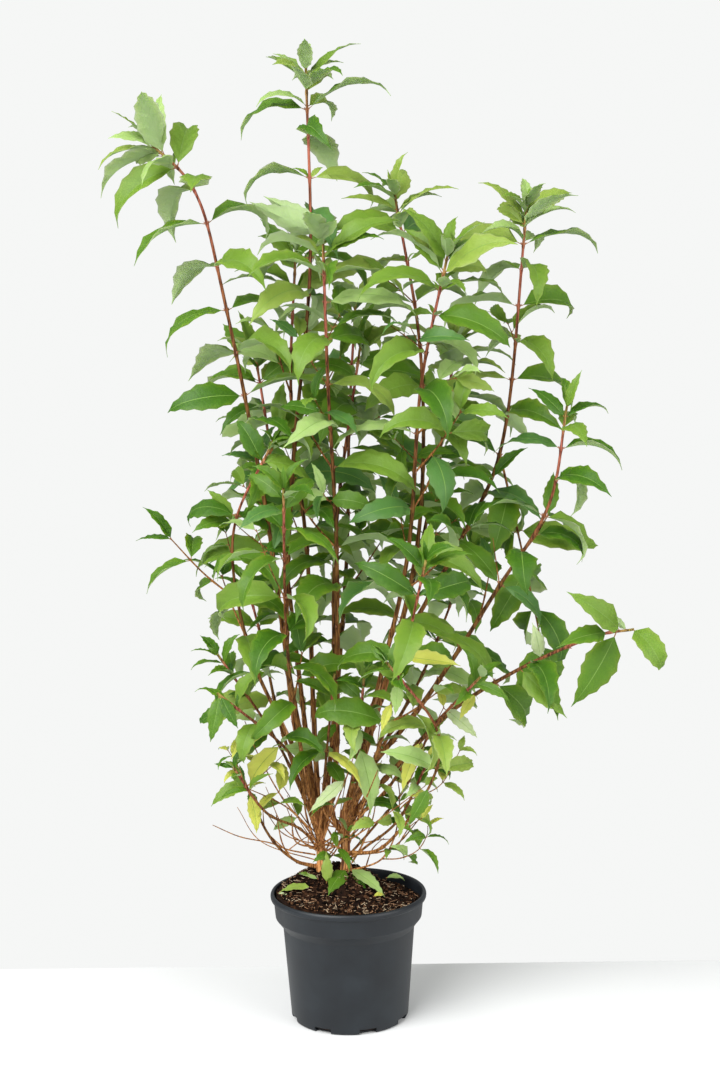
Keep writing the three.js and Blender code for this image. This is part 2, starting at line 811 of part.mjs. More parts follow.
// How far up its own path a cane is clear of every other cane and of both stools.
function clearFrom(cane) {
  const step = 4;
  const room = 1;
  const others = [...canes, ...shanks].filter((other) => other !== cane);
  for (let d = cane.path.length * cane.bare; d > 0; d -= step) {
    const p = cane.path.at(d);
    for (const other of others) {
      for (let e = 0; e < other.path.length; e += step) {
        const least = cane.radiusAt(d) + other.radiusAt(e) + room;
        if (p.distanceTo(other.path.at(e)) < least) return d + step;
      }
    }
  }
  return step;
}

const FINISH = {
  pot: { color: 0x45494d, roughness: 0.55, metalness: 0 },
  soil: { color: 0x3a2a1f, roughness: 1, metalness: 0 },
  bark: { color: 0x8a5a38, roughness: 0.85, metalness: 0 },
  leaf: { color: 0x5d8f3c, roughness: 0.6, metalness: 0 },
};
const STEM_FOOT = 10; // from where a cane is clear of the rest to where its leafy stem may start
const plant = new THREE.Group();

function addPiece(name, geometry, kind) {
  const mesh = new THREE.Mesh(geometry, new THREE.MeshStandardMaterial(FINISH[kind]));
  mesh.name = name;
  plant.add(mesh);
}

addPiece("pot", makePot(), "pot");
addPiece("soil", makeSoil(), "soil");

for (const cane of canes) {
  cane.forkAt = clearFrom(cane);
  cane.leafFrom = Math.max(cane.path.length * cane.bare, cane.forkAt + STEM_FOOT);
}

const space = new Space();
space.put(makeSoil(), "limb");
for (const shank of shanks) {
  const trunk = new Limb(shank.path, 0, shank.path.length, shank.radiusAt, SHANK_SIDES, SHANK_RINGS);
  const pieces = [trunk.shape()];
  for (const cane of canes.filter((c) => c.stool === shank.name)) {
    pieces.push(new Limb(cane.path, 0, cane.forkAt, cane.radiusAt, CANE_SIDES, CANE_RINGS).shape());
  }
  pieces.forEach((piece) => space.put(piece, "limb"));
  addPiece("stool_" + shank.name, fuse(pieces.map(solidOf)), "bark");
}

for (const cane of canes) {
  const bough = [cane.path, cane.forkAt + GAP, cane.leafFrom - GAP, cane.radiusAt, CANE_SIDES, CANE_RINGS];
  const shape = new Limb(...bough).shape();
  space.put(shape, "limb");
  addPiece("cane_" + cane.name, shape, "bark");
  const spacing = cane.stout < 1 ? STEM_RINGS / 2 : STEM_RINGS;
  cane.wood = new Limb(cane.path, cane.leafFrom, cane.path.length, cane.radiusAt, STEM_SIDES, spacing);
  cane.stem = cane.wood.shape();
  space.put(cane.stem, cane.name + "stem");
}

for (const cane of canes) {
  const parts = growShoot(cane, space);
  addPiece("shoot_" + cane.name, fuse([cane.stem, ...parts].map(solidOf)), "leaf");
}

export default plant;
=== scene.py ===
"""A potted fuzzy deutzia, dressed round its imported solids: bark, twigs, leaves, pot and soil.

The plant is grown here by the same seeded rule as its solids, in millimetres, and carried on to finer
twigs. Its meshes are then made in metres, +Z up, with the centre of the pot's underside at the origin.
"""

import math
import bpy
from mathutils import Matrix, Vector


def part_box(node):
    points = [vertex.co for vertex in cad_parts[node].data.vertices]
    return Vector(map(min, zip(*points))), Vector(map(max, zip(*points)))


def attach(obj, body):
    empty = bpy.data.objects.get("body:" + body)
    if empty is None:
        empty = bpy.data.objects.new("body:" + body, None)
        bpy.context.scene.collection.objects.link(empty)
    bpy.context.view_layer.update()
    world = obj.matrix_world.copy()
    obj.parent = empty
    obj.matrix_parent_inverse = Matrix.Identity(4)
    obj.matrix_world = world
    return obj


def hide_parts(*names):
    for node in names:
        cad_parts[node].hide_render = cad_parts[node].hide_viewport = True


bl_info = {
    "name": "Potted Deutzia",
    "version": (1, 0, 0),
    "blender": (4, 5, 0),
    "location": "3D View > Sidebar > Plant",
    "description": "Grows a leafy, many-stemmed shrub in a round nursery pot",
    "category": "Add Mesh",
}

from functools import cache
from types import SimpleNamespace

import bmesh
import bpy
import numpy as np
from mathutils import Matrix, Vector, noise

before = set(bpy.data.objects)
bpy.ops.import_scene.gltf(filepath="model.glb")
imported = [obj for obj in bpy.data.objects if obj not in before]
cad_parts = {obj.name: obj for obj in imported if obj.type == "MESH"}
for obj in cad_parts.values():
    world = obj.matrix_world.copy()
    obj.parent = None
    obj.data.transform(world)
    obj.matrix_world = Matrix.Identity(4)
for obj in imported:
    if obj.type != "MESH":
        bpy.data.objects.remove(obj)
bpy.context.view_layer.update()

MM = 0.001
UP = np.array([0.0, 0.0, 1.0])

# The pot's outside, in millimetres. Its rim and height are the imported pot's own.
POT_LOW, POT_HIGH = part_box("pot")
POT = SimpleNamespace(
    height=POT_HIGH.z / MM, rim=(POT_HIGH.x - POT_LOW.x) / 2 / MM, rim_band=7, rim_wall=4.5, rim_step=4,
    edge_round=1.5, collar=88.5, collar_foot=122, body_top=79.5, body_top_height=112, foot=71, foot_round=3,
    wall=1.7, floor=2.4, drains=8, drain_width=21, drain_height=6.5, drain_turn=0.4, drain_depth=16,
    rings_over_drains=(1.5, 6), foot_corner=0.3, inside_rises=(3, 0.5, 1.5), bevels_from=18,
)

# The root ball: its heaped top as in the source, then its faces, its lumps and its room in the pot.
SOIL = SimpleNamespace(
    crown=170, crown_x=-16, crown_y=22, crown_radius=27, fall_radius=50, fall=24, tilt=4,
    rings=44, turn_steps=144, lump=14, grit=3.2, grit_share=0.55, foot_in=3, low_in=1, low_up=3, body_up=1.5,
    collar_in=0.5, edge_out=1,
)
GAP = 0.3

# Two stools, each cut flat at the soil with a flare there.
STOOLS = {
    "left": dict(foot=(-32, 22), neck=(-34, 22, 216), foot_radius=7.4, neck_radius=4.6),
    "right": dict(foot=(-3, 22), neck=(-3, 22, 246), foot_radius=7.8, neck_radius=5),
}
FLARE_HEIGHT = 16
SHANK_RADIUS = 5.4
CANE_RADIUS = (3.3, 1.4)
TWIG_RADIUS = (1.3, 0.7)
CLEAR = 0.7
TURNS_TRIED = (0, 18, -18, 36, -36)

# The solids' wood, to keep leaves clear of it: its corners, and how far apart its rings are.
PROXY = dict(shank=(7, 14), cane=(5, 45), stem=(3, 50), twig=(3, 40))

# The wood as it is seen: corners, distance between rings, roughness, and its youth at foot and tip.
WOOD = dict(
    shank=dict(sides=20, spacing=2.5, relief=0.11), cane=dict(sides=9, spacing=4, relief=0.05),
    twig=dict(sides=6, spacing=5, relief=0.03),
)
SHANK_YOUTH = (0, 0.04)
CANE_YOUTH = (0.04, 1)
BARK_THICKENS = 1.06
CANE_END = 1.55
BARE_JOINTS_DOWN_TO = 0.5
JOINT_REACH = 2.8
RIDGES = (1.7, 0.03)

# The source's canes: the stool and the share of it where each starts, the places it passes, and its tip.
# bare is the share of its length below its leaves, leaf its full leaf, turn the bearing of its lowest
# pair, laterals the chance of a side twig, arch how far its leaves nod, stout how thick it is beside the
# others and sides the side shoots that are not left to chance.
CANES = [
    dict(name="left_arch", stool="left", rise=0.9,
         through=[(-66, 12, 405), (-94, 2, 633), (-136, -9, 870), (-165, -15, 985)],
         tip=(-219, -20, 1045), bare=0.38, leaf=114, turn=30, laterals=0.1, arch=84, seed=176),
    dict(name="tallest", stool="left", rise=1,
         through=[(-69, 19, 415), (-60, 16, 657), (-35, 13, 897)],
         tip=(-36, 10, 1128), bare=0.36, leaf=113, turn=80, laterals=0.15, arch=95, seed=386),
    dict(name="middle_front", stool="right", rise=0.5,
         through=[(-20, 14, 252), (-12, 2, 320), (-8, -17, 560), (-15, -38, 767)],
         tip=(-18, -60, 934), bare=0.36, leaf=116, turn=60, laterals=0.25, arch=91, seed=152),
    dict(name="right_upright", stool="right", rise=1,
         through=[(20, 22, 310), (62, 30, 450), (92, 25, 600), (94, 15, 799)],
         tip=(64, 5, 990), bare=0.4, leaf=99, turn=50, laterals=0.4, arch=87, seed=209),
    dict(name="right_front", stool="right", rise=1,
         through=[(14, 5, 310), (45, -20, 430), (76, -32, 570), (92, -45, 760)],
         tip=(124, -60, 912), bare=0.38, leaf=113, turn=40, laterals=0.5, arch=89, seed=194),
    dict(name="right_tall", stool="right", rise=0.9,
         through=[(20, 40, 320), (60, 56, 425), (143, 60, 572), (196, 55, 700)],
         tip=(223, 40, 972), bare=0.42, leaf=108, turn=10, laterals=0.2, arch=96, seed=195,
         sides=[dict(share=0.62, length=230, bearing=330, open=150, droop=5, stout=1.2)]),
    dict(name="right_arch", stool="right", rise=1,
         through=[(28, 10, 300), (99, -4, 392), (180, -20, 520), (240, -30, 620)],
         tip=(260, -40, 735), bare=0.4, leaf=100, turn=0, laterals=0.5, arch=111, seed=266),
    dict(name="right_low", stool="right", rise=0.8,
         through=[(45, -6, 290), (120, -35, 375), (200, -55, 430), (285, -70, 470)],
         tip=(331, -80, 480), bare=0.42, leaf=109, turn=80, laterals=0.3, arch=112, seed=158),
    dict(name="left_middle", stool="left", rise=1,
         through=[(-40, 34, 367), (-45, 52, 556), (-62, 66, 745)],
         tip=(-54, 76, 925), bare=0.4, leaf=109, turn=80, laterals=0.4, arch=85, seed=36),
    dict(name="centre", stool="left", rise=0.8,
         through=[(-14, 24, 290), (-14, 30, 420), (-8, 34, 600)],
         tip=(24, 30, 815), bare=0.36, leaf=107, turn=80, laterals=0.25, arch=93, seed=74),
    dict(name="left_thin", stool="left", rise=0.8,
         through=[(-60, 0, 320), (-112, -20, 450), (-128, -34, 590)],
         tip=(-78, -52, 700), bare=0.38, leaf=90, turn=10, laterals=0.4, arch=96, seed=216, stout=0.8),
    dict(name="back_left", stool="left", rise=0.9,
         through=[(-50, 60, 330), (-72, 112, 520), (-92, 140, 680)],
         tip=(-112, 158, 812), bare=0.34, leaf=102, turn=70, laterals=0.5, arch=91, seed=229),
    dict(name="back_middle", stool="left", rise=1,
         through=[(-16, 74, 340), (2, 128, 540), (8, 158, 720)],
         tip=(18, 176, 870), bare=0.34, leaf=106, turn=60, laterals=0.4, arch=102, seed=231),
    dict(name="back_right", stool="right", rise=0.9,
         through=[(30, 70, 330), (82, 122, 500), (120, 150, 660)],
         tip=(146, 168, 820), bare=0.34, leaf=109, turn=0, laterals=0.4, arch=77, seed=42),
    dict(name="back_low", stool="right", rise=0.8,
         through=[(40, 90, 300), (104, 160, 400)],
         tip=(168, 214, 550), bare=0.36, leaf=98, turn=10, laterals=0.4, arch=99, seed=51, stout=0.8),
    dict(name="front_left", stool="left", rise=0.8,
         through=[(-52, -20, 320), (-66, -70, 470)],
         tip=(-64, -128, 650), bare=0.38, leaf=103, turn=50, laterals=0.5, arch=108, seed=205, stout=0.8),
    dict(name="front_right", stool="right", rise=0.8,
         through=[(30, -30, 310), (62, -86, 430)],
         tip=(92, -140, 570), bare=0.38, leaf=98, turn=10, laterals=0.5, arch=108, seed=390, stout=0.8),
    dict(name="left_low", stool="left", rise=0.9,
         through=[(-58, 50, 270), (-84, 66, 350), (-102, 76, 440)],
         tip=(-122, 84, 520), bare=0.38, leaf=84, turn=50, laterals=0.5, arch=82, seed=349, stout=0.8),
    dict(name="left_spray", stool="left", rise=0.7,
         through=[(-48, 0, 258), (-66, -34, 330)],
         tip=(-146, -78, 412), bare=0.4, leaf=75, turn=10, laterals=0.3, arch=112, seed=52, stout=0.65),
    dict(name="front_thin", stool="right", rise=0.3,
         through=[(44, -16, 212), (98, -66, 300), (104, -92, 370)],
         tip=(46, -122, 455), bare=0.45, leaf=68, turn=10, laterals=0.2, arch=82, seed=230, stout=0.6),
    dict(name="low_left", stool="left", rise=0.06,
         through=[(-66, 6, 190), (-96, -10, 228)],
         tip=(-122, -22, 296), bare=0.5, leaf=46, turn=80, laterals=0.5, arch=102, seed=213, stout=0.42),
    dict(name="low_left_front", stool="left", rise=0.5,
         through=[(-56, -10, 232), (-96, -40, 262)],
         tip=(-132, -60, 322), bare=0.5, leaf=53, turn=0, laterals=0.25, arch=112, seed=355, stout=0.42),
    dict(name="low_right", stool="right", rise=0.15,
         through=[(22, 2, 206), (62, -20, 246)],
         tip=(96, -40, 320), bare=0.45, leaf=61, turn=0, laterals=0.4, arch=112, seed=290, stout=0.42),
    dict(name="low_right_back", stool="right", rise=0.2,
         through=[(30, 44, 216), (72, 66, 262)],
         tip=(104, 84, 330), bare=0.45, leaf=64, turn=10, laterals=0.5, arch=104, seed=187, stout=0.42),
    dict(name="right_spray", stool="right", rise=0.8,
         through=[(42, -12, 272), (90, -44, 350)],
         tip=(156, -88, 430), bare=0.42, leaf=76, turn=70, laterals=0.4, arch=96, seed=376, stout=0.65),
    dict(name="left_fan", stool="left", rise=0.85,
         through=[(-52, 12, 264), (-90, 6, 348)],
         tip=(-152, -8, 446), bare=0.42, leaf=77, turn=80, laterals=0.4, arch=78, seed=163, stout=0.65),
    dict(name="centre_low", stool="right", rise=0.6,
         through=[(6, -12, 256), (14, -34, 334)],
         tip=(22, -58, 424), bare=0.3, leaf=78, turn=60, laterals=0.4, arch=96, seed=361, stout=0.55),
    dict(name="middle_low", stool="left", rise=0.9,
         through=[(-30, 2, 262), (-22, -24, 340)],
         tip=(-12, -48, 428), bare=0.3, leaf=76, turn=0, laterals=0.4, arch=82, seed=159, stout=0.55),
]

# The source's rule of growth: lengths in millimetres, angles in degrees.
GROWTH = SimpleNamespace(
    first=20, last=3, internode=47, crowded=0.24, crowded_reach=0.8, internode_chance=(0.9, 1.1),
    tip_leaf=0.5, pairs_to_full=4, quarter=90, first_twig=5, above_fork=10, side_youth=0.3,
    youth=(1, 0.15), pairs_to_old=7,
)
LEAF = SimpleNamespace(
    length_chance=(0.88, 1.08), open_tip=32, open_full=68, open_chance=9, arch_tip=0.3,
    arch_chance=(0.72, 1.3), wander=14, roll=38, upright=0.6, facing=0.5, width=0.46, widest=0.4, thick=1.2,
    fold=0.25, sunk=0.25, nod=1.2,
)
TWIG = SimpleNamespace(
    length=95, length_chance=(0.55, 1.15), wander=20, open=42, droop=-12, internode=36, leaf=0.8,
    arch=0.9, tip_leaf=0.75, tip_arch=0.6, open_full=62, first_bearing=135, youth=0.45, tip_youth=0.9,
)

# What the solids leave out: twigs too fine for them, grown by the same rule from the axils of the leaves,
# and small leaves there.
FINER = SimpleNamespace(
    stream=500, low=470, low_fade=60, high=960, high_fade=120, chance=0.4, laterals=0.5, clear_pairs=4,
    length=(36, 84), swing=(-15, 15), open=(40, 62), droop=(-22, 14), stout=0.62, leaf=(0.5, 0.74), arch=0.85,
    internode=26, youth=0.55, small_chance=0.32, small_leaf=(14, 30), small_bend=40, small_youth=0.3,
)
# The crowded leaves at the canes' ends: the last pair on each, and those between the pairs of tall ones.
CROWDED = SimpleNamespace(
    pairs_to_full=2.5, last_leaf=0.26, last_open=14, last_arch=16, between=3, between_leaf=0.72, onward=4,
    turn=45,
)

# Thin old twigs at the plant's foot: the radius of each, its leaves' length and the places that it passes.
BRUSH = [
    (1.3, 0, [(-35, 22, 177), (-64, 8, 189), (-78, -6, 212), (-85, -12, 250)]),
    (0.9, 0, [(-72, 0, 201), (-94, 6, 220), (-101, 10, 231), (-103, 14, 262)]),
    (1.1, 0, [(-40, 22, 191), (-72, 10, 201), (-94, 0, 213), (-129, -14, 225), (-160, -26, 243)]),
    (0.8, 0, [(-72, 10, 201), (-52, 16, 214), (-34, 18, 220)]),
    (1.2, 46, [(-32, 18, 198), (-57, 0, 241), (-80, -16, 266), (-121, -38, 292)]),
    (0.8, 0, [(-120, -38, 291), (-100, -30, 304), (-75, -22, 326)]),
    (0.8, 34, [(-121, -38, 292), (-125, -44, 314), (-138, -50, 339)]),
    (1.3, 0, [(5, 18, 182), (17, 8, 206), (30, -2, 240), (35, -6, 266)]),
    (0.8, 0, [(18, 8, 209), (39, 0, 215), (57, -8, 218)]),
    (1.3, 30, [(2, 16, 172), (39, 2, 189), (57, -6, 222), (63, -12, 267), (61, -14, 292)]),
    (0.9, 42, [(40, 4, 190), (63, -4, 193), (84, -12, 205), (95, -18, 225), (96, -20, 237)]),
    (0.9, 40, [(57, -10, 248), (75, -18, 268), (111, -30, 289), (134, -40, 333)]),
    (0.9, 0, [(18, 31, 160), (29, 24, 195), (44, 18, 212)]),
    (1, 44, [(2, 4, 214), (24, -22, 236), (52, -44, 262), (92, -60, 296)]),
    (1.1, 50, [(4, 10, 226), (20, -6, 268), (34, -20, 318), (40, -30, 362)]),
    (1.1, 48, [(-30, 4, 214), (-14, -18, 262), (2, -34, 306), (12, -42, 338)]),
    (1.1, 54, [(-4, 40, 214), (8, 66, 262), (14, 86, 322), (22, 96, 372)]),
    (1.1, 54, [(-30, 38, 214), (-22, 58, 270), (-20, 74, 332), (-12, 84, 384)]),
    (1.1, 56, [(8, 0, 236), (46, -14, 280), (88, -26, 330), (116, -34, 384)]),
    (1.1, 52, [(-44, 6, 226), (-76, -14, 270), (-104, -34, 330), (-118, -44, 372)]),
    (0.9, 46, [(58, -8, 206), (74, -22, 236), (88, -34, 250)]),
]
# The others there, by chance, and the pairs on a leafy one: how far along it, their size, how far they open.
BRUSH_RULE = SimpleNamespace(
    seed=700, count=30, share=(0.1, 0.75), golden=0.381966, wander=0.08, length=(70, 150),
    spread=(0.35, 0.8), lift=(0.35, 0.95), middle=(0.6, 0.35), kink=22, radius=(0.8, 1.4), taper=0.45,
    youth=(0.05, 0.3), joints=(0.35, 0.7), leafy=0.16, leaf=(26, 44), leaf_youth=0.5, arch=78, bearing=40,
    pairs=[(0.4, 0.9, 64), (0.62, 1, 60), (0.82, 0.9, 55), (0.99, 0.6, 30)],
)

# The plain colours of the leaves, each with the name of its finish. The dull pale one is partly the leaves'
# own colour and partly painted sheen.
TINTS = {
    "deep": ("Deep green leaf", "#355A0E"), "mid": ("Green leaf", "#476A16"),
    "fresh": ("Fresh green leaf", "#5E7C26"), "blue": ("Bluish green leaf", "#42682E"),
    "young": ("Young leaf", "#788E3A"), "lime": ("Ageing lime leaf", "#ACB04A"),
    "dull": ("Dull pale leaf", "#86A05C"), "rib": ("Midrib", "#6A883C"), "petiole": ("Petiole", "#8A5E34"),
    "sage": ("Felted underside", "#90A672"), "pale": ("Pale underside", "#A2B282"),
}

# How often a leaf has each tint, by its height: near the foot, between, high up, and at the young ends there.
MATURE = dict(deep=0.28, mid=0.38, fresh=0.2, blue=0.1, dull=0.04)
# High up and at the young ends, the dull pale share is raised above the middle's as painted sheen: pale
# leaves stand in for the whitish highlights on lit felted leaves.
UPPER = dict(deep=0.05, mid=0.27, fresh=0.35, blue=0.08, young=0.1, dull=0.15)
LOW = dict(deep=0.13, mid=0.2, fresh=0.2, young=0.17, lime=0.11, dull=0.19)
TOP = dict(fresh=0.36, young=0.38, mid=0.14, dull=0.12)
LIME_BELOW = 400
UPPER_ABOVE = 760
# How young a spray or a leaf has to be for those, and the share of leaves that keep their spray's tint.
SPRAY_YOUTH = 0.75
LEAF_YOUTH = 0.6
KEEPS_SPRAY_TINT = 0.62

# Leaves that lie or stand on the soil: root, way of the rib, length, nod, tint. And the way they all face.
LITTER = [
    ((-26, -16, 167), (0.1, 0.1, 1), 38, 12, "young"),
    ((-2, 10, 176), (-0.43, -0.86, -0.12), 56, 15, "mid"),
    ((2, 14, 176), (0.66, -0.7, -0.2), 62, 20, "dull"),
    ((4, 8, 171), (0.5, -0.8, -0.1), 36, 50, "deep"),
    ((-44, -18, 163), (-0.9, 0.25, 0.02), 44, 24, "young"),
    ((-36, -6, 169), (-0.9, 0.1, 0.3), 26, 20, "dull"),
    ((-85, -8, 153), (0.9, -0.5, 0.02), 17, 20, "pale"),
    ((-64, 36, 160), (0.9, -0.3, 0.12), 28, 20, "pale"),
    ((-44, 2, 168), (-0.5, -0.3, 0.8), 20, 50, "fresh"),
    ((30, -34, 156), (0.7, 0.6, 0.05), 22, 30, "lime"),
    ((46, 30, 158), (0.8, 0.2, 0.1), 26, 30, "dull"),
]
LITTER_FACES = (0.1, -0.35, 1)

# A leaf's blade as it is seen: what chance gives it, and its shape in shares of its length or width.
PETIOLE = 0.07
MIDRIB = 0.026
BLADE_CHANCE = dict(
    curl=(0, 0.75), sweep=(-0.4, 0.4), twist=(-0.55, 0.55), fold=(0.3, 0.8), recurve=(0.12, 0.5),
    wave=(0.03, 0.17), phase=(0, 1), width=(0.34, 0.42),
)
BLADE = SimpleNamespace(
    rows=12, steps=48, curls_from=0.5, lean=0.1, leans_from=0.12, twist_power=1.5, outline=(0.85, 1.45),
    full=85, least_half=(0.7, 0.25), groove=0.35, keel=0.6, stalk=0.65, waves=2.3, wave_lag=0.3,
)

# Crumbs, fibres, peeling strips and buds: spans of chance in millimetres, and how often each finish is dealt.
CRUMB = SimpleNamespace(
    size=(0.7, 2.3), squash=(0.55, 1.1), lumps=(0.8, 1.15), above=(0.4, 2.2), shares=(0.44, 0.32, 0.18, 0.06),
)
FIBRE = SimpleNamespace(
    length=(2.5, 8), radius=(0.16, 0.4), bow=(-0.3, 0.3), rise=(-0.1, 0.25), flat=1.6, above=(1.6, 3),
    straw=0.45,
)
STRIP = SimpleNamespace(
    rounds=4, canes=16, reach=(0.5, 190), first=3, last=0.85, length=(9, 42), winds=(-0.3, 0.3),
    lift=(0.2, 2.6), from_top=0.6, width=(0.7, 1.9), taper=(0.12, 0.78), off=(1.02, 0.15), thick=0.22,
    shares=(0.45, 0.35, 0.2),
)
BUD = SimpleNamespace(corners=6, point=0.25, size=1.15, by_stem=0.4, leans=0.75, sits=0.4, long=3.2)
SEEDS = dict(crumbs=41, strips=52, tints=77, leaves=90, litter=99)

# The canes whose tips are below the first, or else behind the second, bear the low and the back leaves.
LOW_TIP = 600
BACK_TIP = 100

# The stage in metres: the floor, the lights with their places, sizes and shares of the key light's power, the
# place they shine at, and the camera in millimetres and degrees.
FLOOR = SimpleNamespace(width=5, depth=2.66, back=0.16)
LIGHTS = {"key": ((-1.5, -1.9, 2.3), 2.8, 1), "fill": ((2.0, -1.6, 1.2), 2.2, 0.3)}
LIT = (0, 0, 0.55)
CAMERA = SimpleNamespace(sensor=36, lens=52.51, place=(19.6, -1859.7, 755.0), down=5.41, roll=-0.75)

# Leaves that stand out from the others, by the stem that bears them: how far from its end, where the leaf's
# tip is from its root, how far it nods, its tint, and which of its sides is turned to the front.
SHOWN = {
    "middle_front": [
        (3, (-86, -9, 28), 16, "dull", "under"), (3, (-64, 5, 48), 20, "dull", "under"),
        (578, (-30, -24, -28), 20, "mid", "face"), (612, (-70, -26, -2), 50, "dull", "face"),
    ],
    "right_low": [
        (2, (26, -10, -54), 140, "fresh", "face"), (20, (-41, -12, -92), 14, "mid", "face"),
        (16, (-72, -34, 36), 60, "fresh", "face"), (30, (-66, -44, -4), 34, "mid", "face"),
        (8, (-26, 8, 22), 20, "dull", "under"), (113, (-10, -12, 44), 20, "pale", "face"),
        (120, (26, -24, -66), 20, "mid", "face"), (140, (50, -28, -54), 24, "fresh", "face"),
        (200, (-24, -12, -26), 20, "lime", "face"),
    ],
    "right_upright": [(441, (8, -12, -26), 14, "lime", "face")],
    "centre_low": [(89, (29, -14, -76), 12, "dull", "face"), (62, (-8, -14, -42), 10, "dull", "face")],
    "low_left": [(2, (-45, -8, -22), 26, "fresh", "face"), (18, (16, -8, -46), 12, "lime", "face")],
    "front_right": [
        (126, (64, -12, -14), 36, "lime", "face"), (190, (-18, -14, -30), 20, "lime", "face"),
        (160, (-2, -16, -36), 16, "dull", "face"),
    ],
    "front_thin": [(190, (-22, -10, -44), 16, "mid", "face")],
    "left_spray": [(3, (-8, -8, -56), 20, "mid", "face"), (5, (18, -12, -38), 20, "deep", "face")],
    "right_spray": [(118, (-28, -12, -58), 16, "lime", "face")],
    "brush15": [(43, (-42, -22, -38), 26, "pale", "face")],
    "brush18": [(2, (40, -10, -36), 40, "pale", "face")],
}
FACING = dict(under=(0.1, 1, 0.35), face=(0.05, -1, 0.55))
SHOWN_YOUTH = 0.3
CROSSES_WITHIN = 160
BARED = dict(cane="right_low", reach=100)


def seeded(seed):
    """Numbers between 0 and 1 that are the same each time, as in the source."""
    state = seed * 7919 + 17

    def draw():
        nonlocal state
        state = (state * 1664525 + 1013904223) % 2**32
        return state / 2**32

    return draw


def mix(a, b, t):
    return a + (b - a) * t


def smooth(t):
    c = np.clip(t, 0, 1)
    return c * c * (3 - 2 * c)


def unit(v):
    return v / np.linalg.norm(v, axis=-1, keepdims=True)


class Path:
    """A smooth path through places in space, read by the distance along it."""

    def __init__(self, places, steps=16):
        places = np.array(places, float)
        ends = 2 * places[0] - places[1], 2 * places[-1] - places[-2]
        held = np.vstack([ends[0], places, ends[1]])
        t = np.arange(steps) / steps
        weights = np.stack([
            (-t + 2 * t**2 - t**3) / 2,
            (2 - 5 * t**2 + 3 * t**3) / 2,
            (t + 4 * t**2 - 3 * t**3) / 2,
            (-(t**2) + t**3) / 2,
        ], axis=1)
        spans = [weights @ held[i : i + 4] for i in range(len(held) - 3)]
        self.points = np.vstack([*spans, places[-1:]])
        gone = np.linalg.norm(np.diff(self.points, axis=0), axis=1)
        self.far = np.concatenate([[0.0], np.cumsum(gone)])
        self.length = self.far[-1]

    def at(self, distance):
        want = np.clip(distance, 0, self.length)
        return np.stack([np.interp(want, self.far, self.points[:, k]) for k in range(3)], -1)

    def heading(self, distance, step=4):
        return unit(self.at(distance + step) - self.at(distance - step))


def across(heading):
    """The two directions across a stem: one to the right and one to the back."""
    right = unit(np.cross(np.array([0.0, 1.0, 0.0]), heading))
    return right, np.cross(heading, right)


def outward(heading, bearing):
    right, back = across(heading)
    return right * math.cos(bearing) + back * math.sin(bearing)


def turned(v, axis, angle):
    """v turned about an axis of length 1."""
    c, s = math.cos(angle), math.sin(angle)
    return v * c + np.cross(axis, v) * s + axis * (axis @ v) * (1 - c)


def tube_faces(path, start, end, radius_at, sides, spacing, extra=0.0):
    """The triangles of each length of a limb, to keep leaves clear of it."""
    rings = max(1, round((end - start) / spacing))
    far = np.linspace(start, end, rings + 1)
    right, back = across(path.heading(far))
    round_by = np.arange(sides) * 2 * math.pi / sides
    reach = np.array([radius_at(d) + extra for d in far])[:, None, None]
    spokes = right[:, None] * np.cos(round_by)[:, None] + back[:, None] * np.sin(round_by)[:, None]
    ring = path.at(far)[:, None] + spokes * reach
    beside = np.roll(ring, -1, axis=1)
    low, low_beside, high, high_beside = ring[:-1], beside[:-1], ring[1:], beside[1:]
    halves = [np.stack([low, low_beside, high_beside], 2), np.stack([low, high_beside, high], 2)]
    return np.concatenate(halves, 1)


def rib(leaf, share, steps=10):
    """A place along the rib of a leaf, and the way its face looks there."""
    nods = leaf.arch * ((np.arange(round(share * steps)) + 0.5) / steps) ** LEAF.nod
    along = (np.cos(nods).sum() * leaf.direction - np.sin(nods).sum() * leaf.up) / steps
    nod = leaf.arch * share**LEAF.nod
    return leaf.root + along * leaf.length, leaf.up * math.cos(nod) + leaf.direction * math.sin(nod)


def blade(leaf, extra=0.0):
    """The eight faces that stand for a leaf in the solids, a little larger by extra."""
    side = np.cross(leaf.direction, leaf.up)
    half = leaf.length * LEAF.width / 2 + extra
    thick = LEAF.thick / 2 + extra
    middle, face = rib(leaf, LEAF.widest)
    ends = rib(leaf, 1)[0], leaf.root - leaf.direction * LEAF.sunk * leaf.stem
    edges = [middle + side * half * sign + face * half * LEAF.fold for sign in (1, -1)]
    faces = middle + face * thick, middle - face * thick
    return np.array([[a, b, c] for a in ends for b in edges for c in faces])


def pierces(some, others):
    """Whether an edge of some triangles goes through one of the others."""
    foot = others[:, 0]
    u, v = others[:, 1] - foot, others[:, 2] - foot
    normal = np.cross(u, v)
    height = np.einsum("aik,bk->abi", some, normal) - np.einsum("bk,bk->b", foot, normal)[None, :, None]
    for i in range(3):
        j = (i + 1) % 3
        a, b = np.nonzero(height[..., i] * height[..., j] < 0)
        if not len(a):
            continue
        t = height[a, b, i] / (height[a, b, i] - height[a, b, j])
        p = some[a, i] + (some[a, j] - some[a, i]) * t[:, None] - foot[b]
        uu, uv, vv = (np.einsum("nk,nk->n", m[b], n[b]) for m, n in ((u, u), (u, v), (v, v)))
        pu, pv = (np.einsum("nk,nk->n", p, m[b]) for m in (u, v))
        det = np.maximum(uu * vv - uv * uv, 1e-12)
        s, r = (vv * pu - uv * pv) / det, (uu * pv - uv * pu) / det
        if np.any((s >= 0) & (r >= 0) & (s + r <= 1)):
            return True
    return False


def crossing(some, others):
    return pierces(some, others) or pierces(others, some)


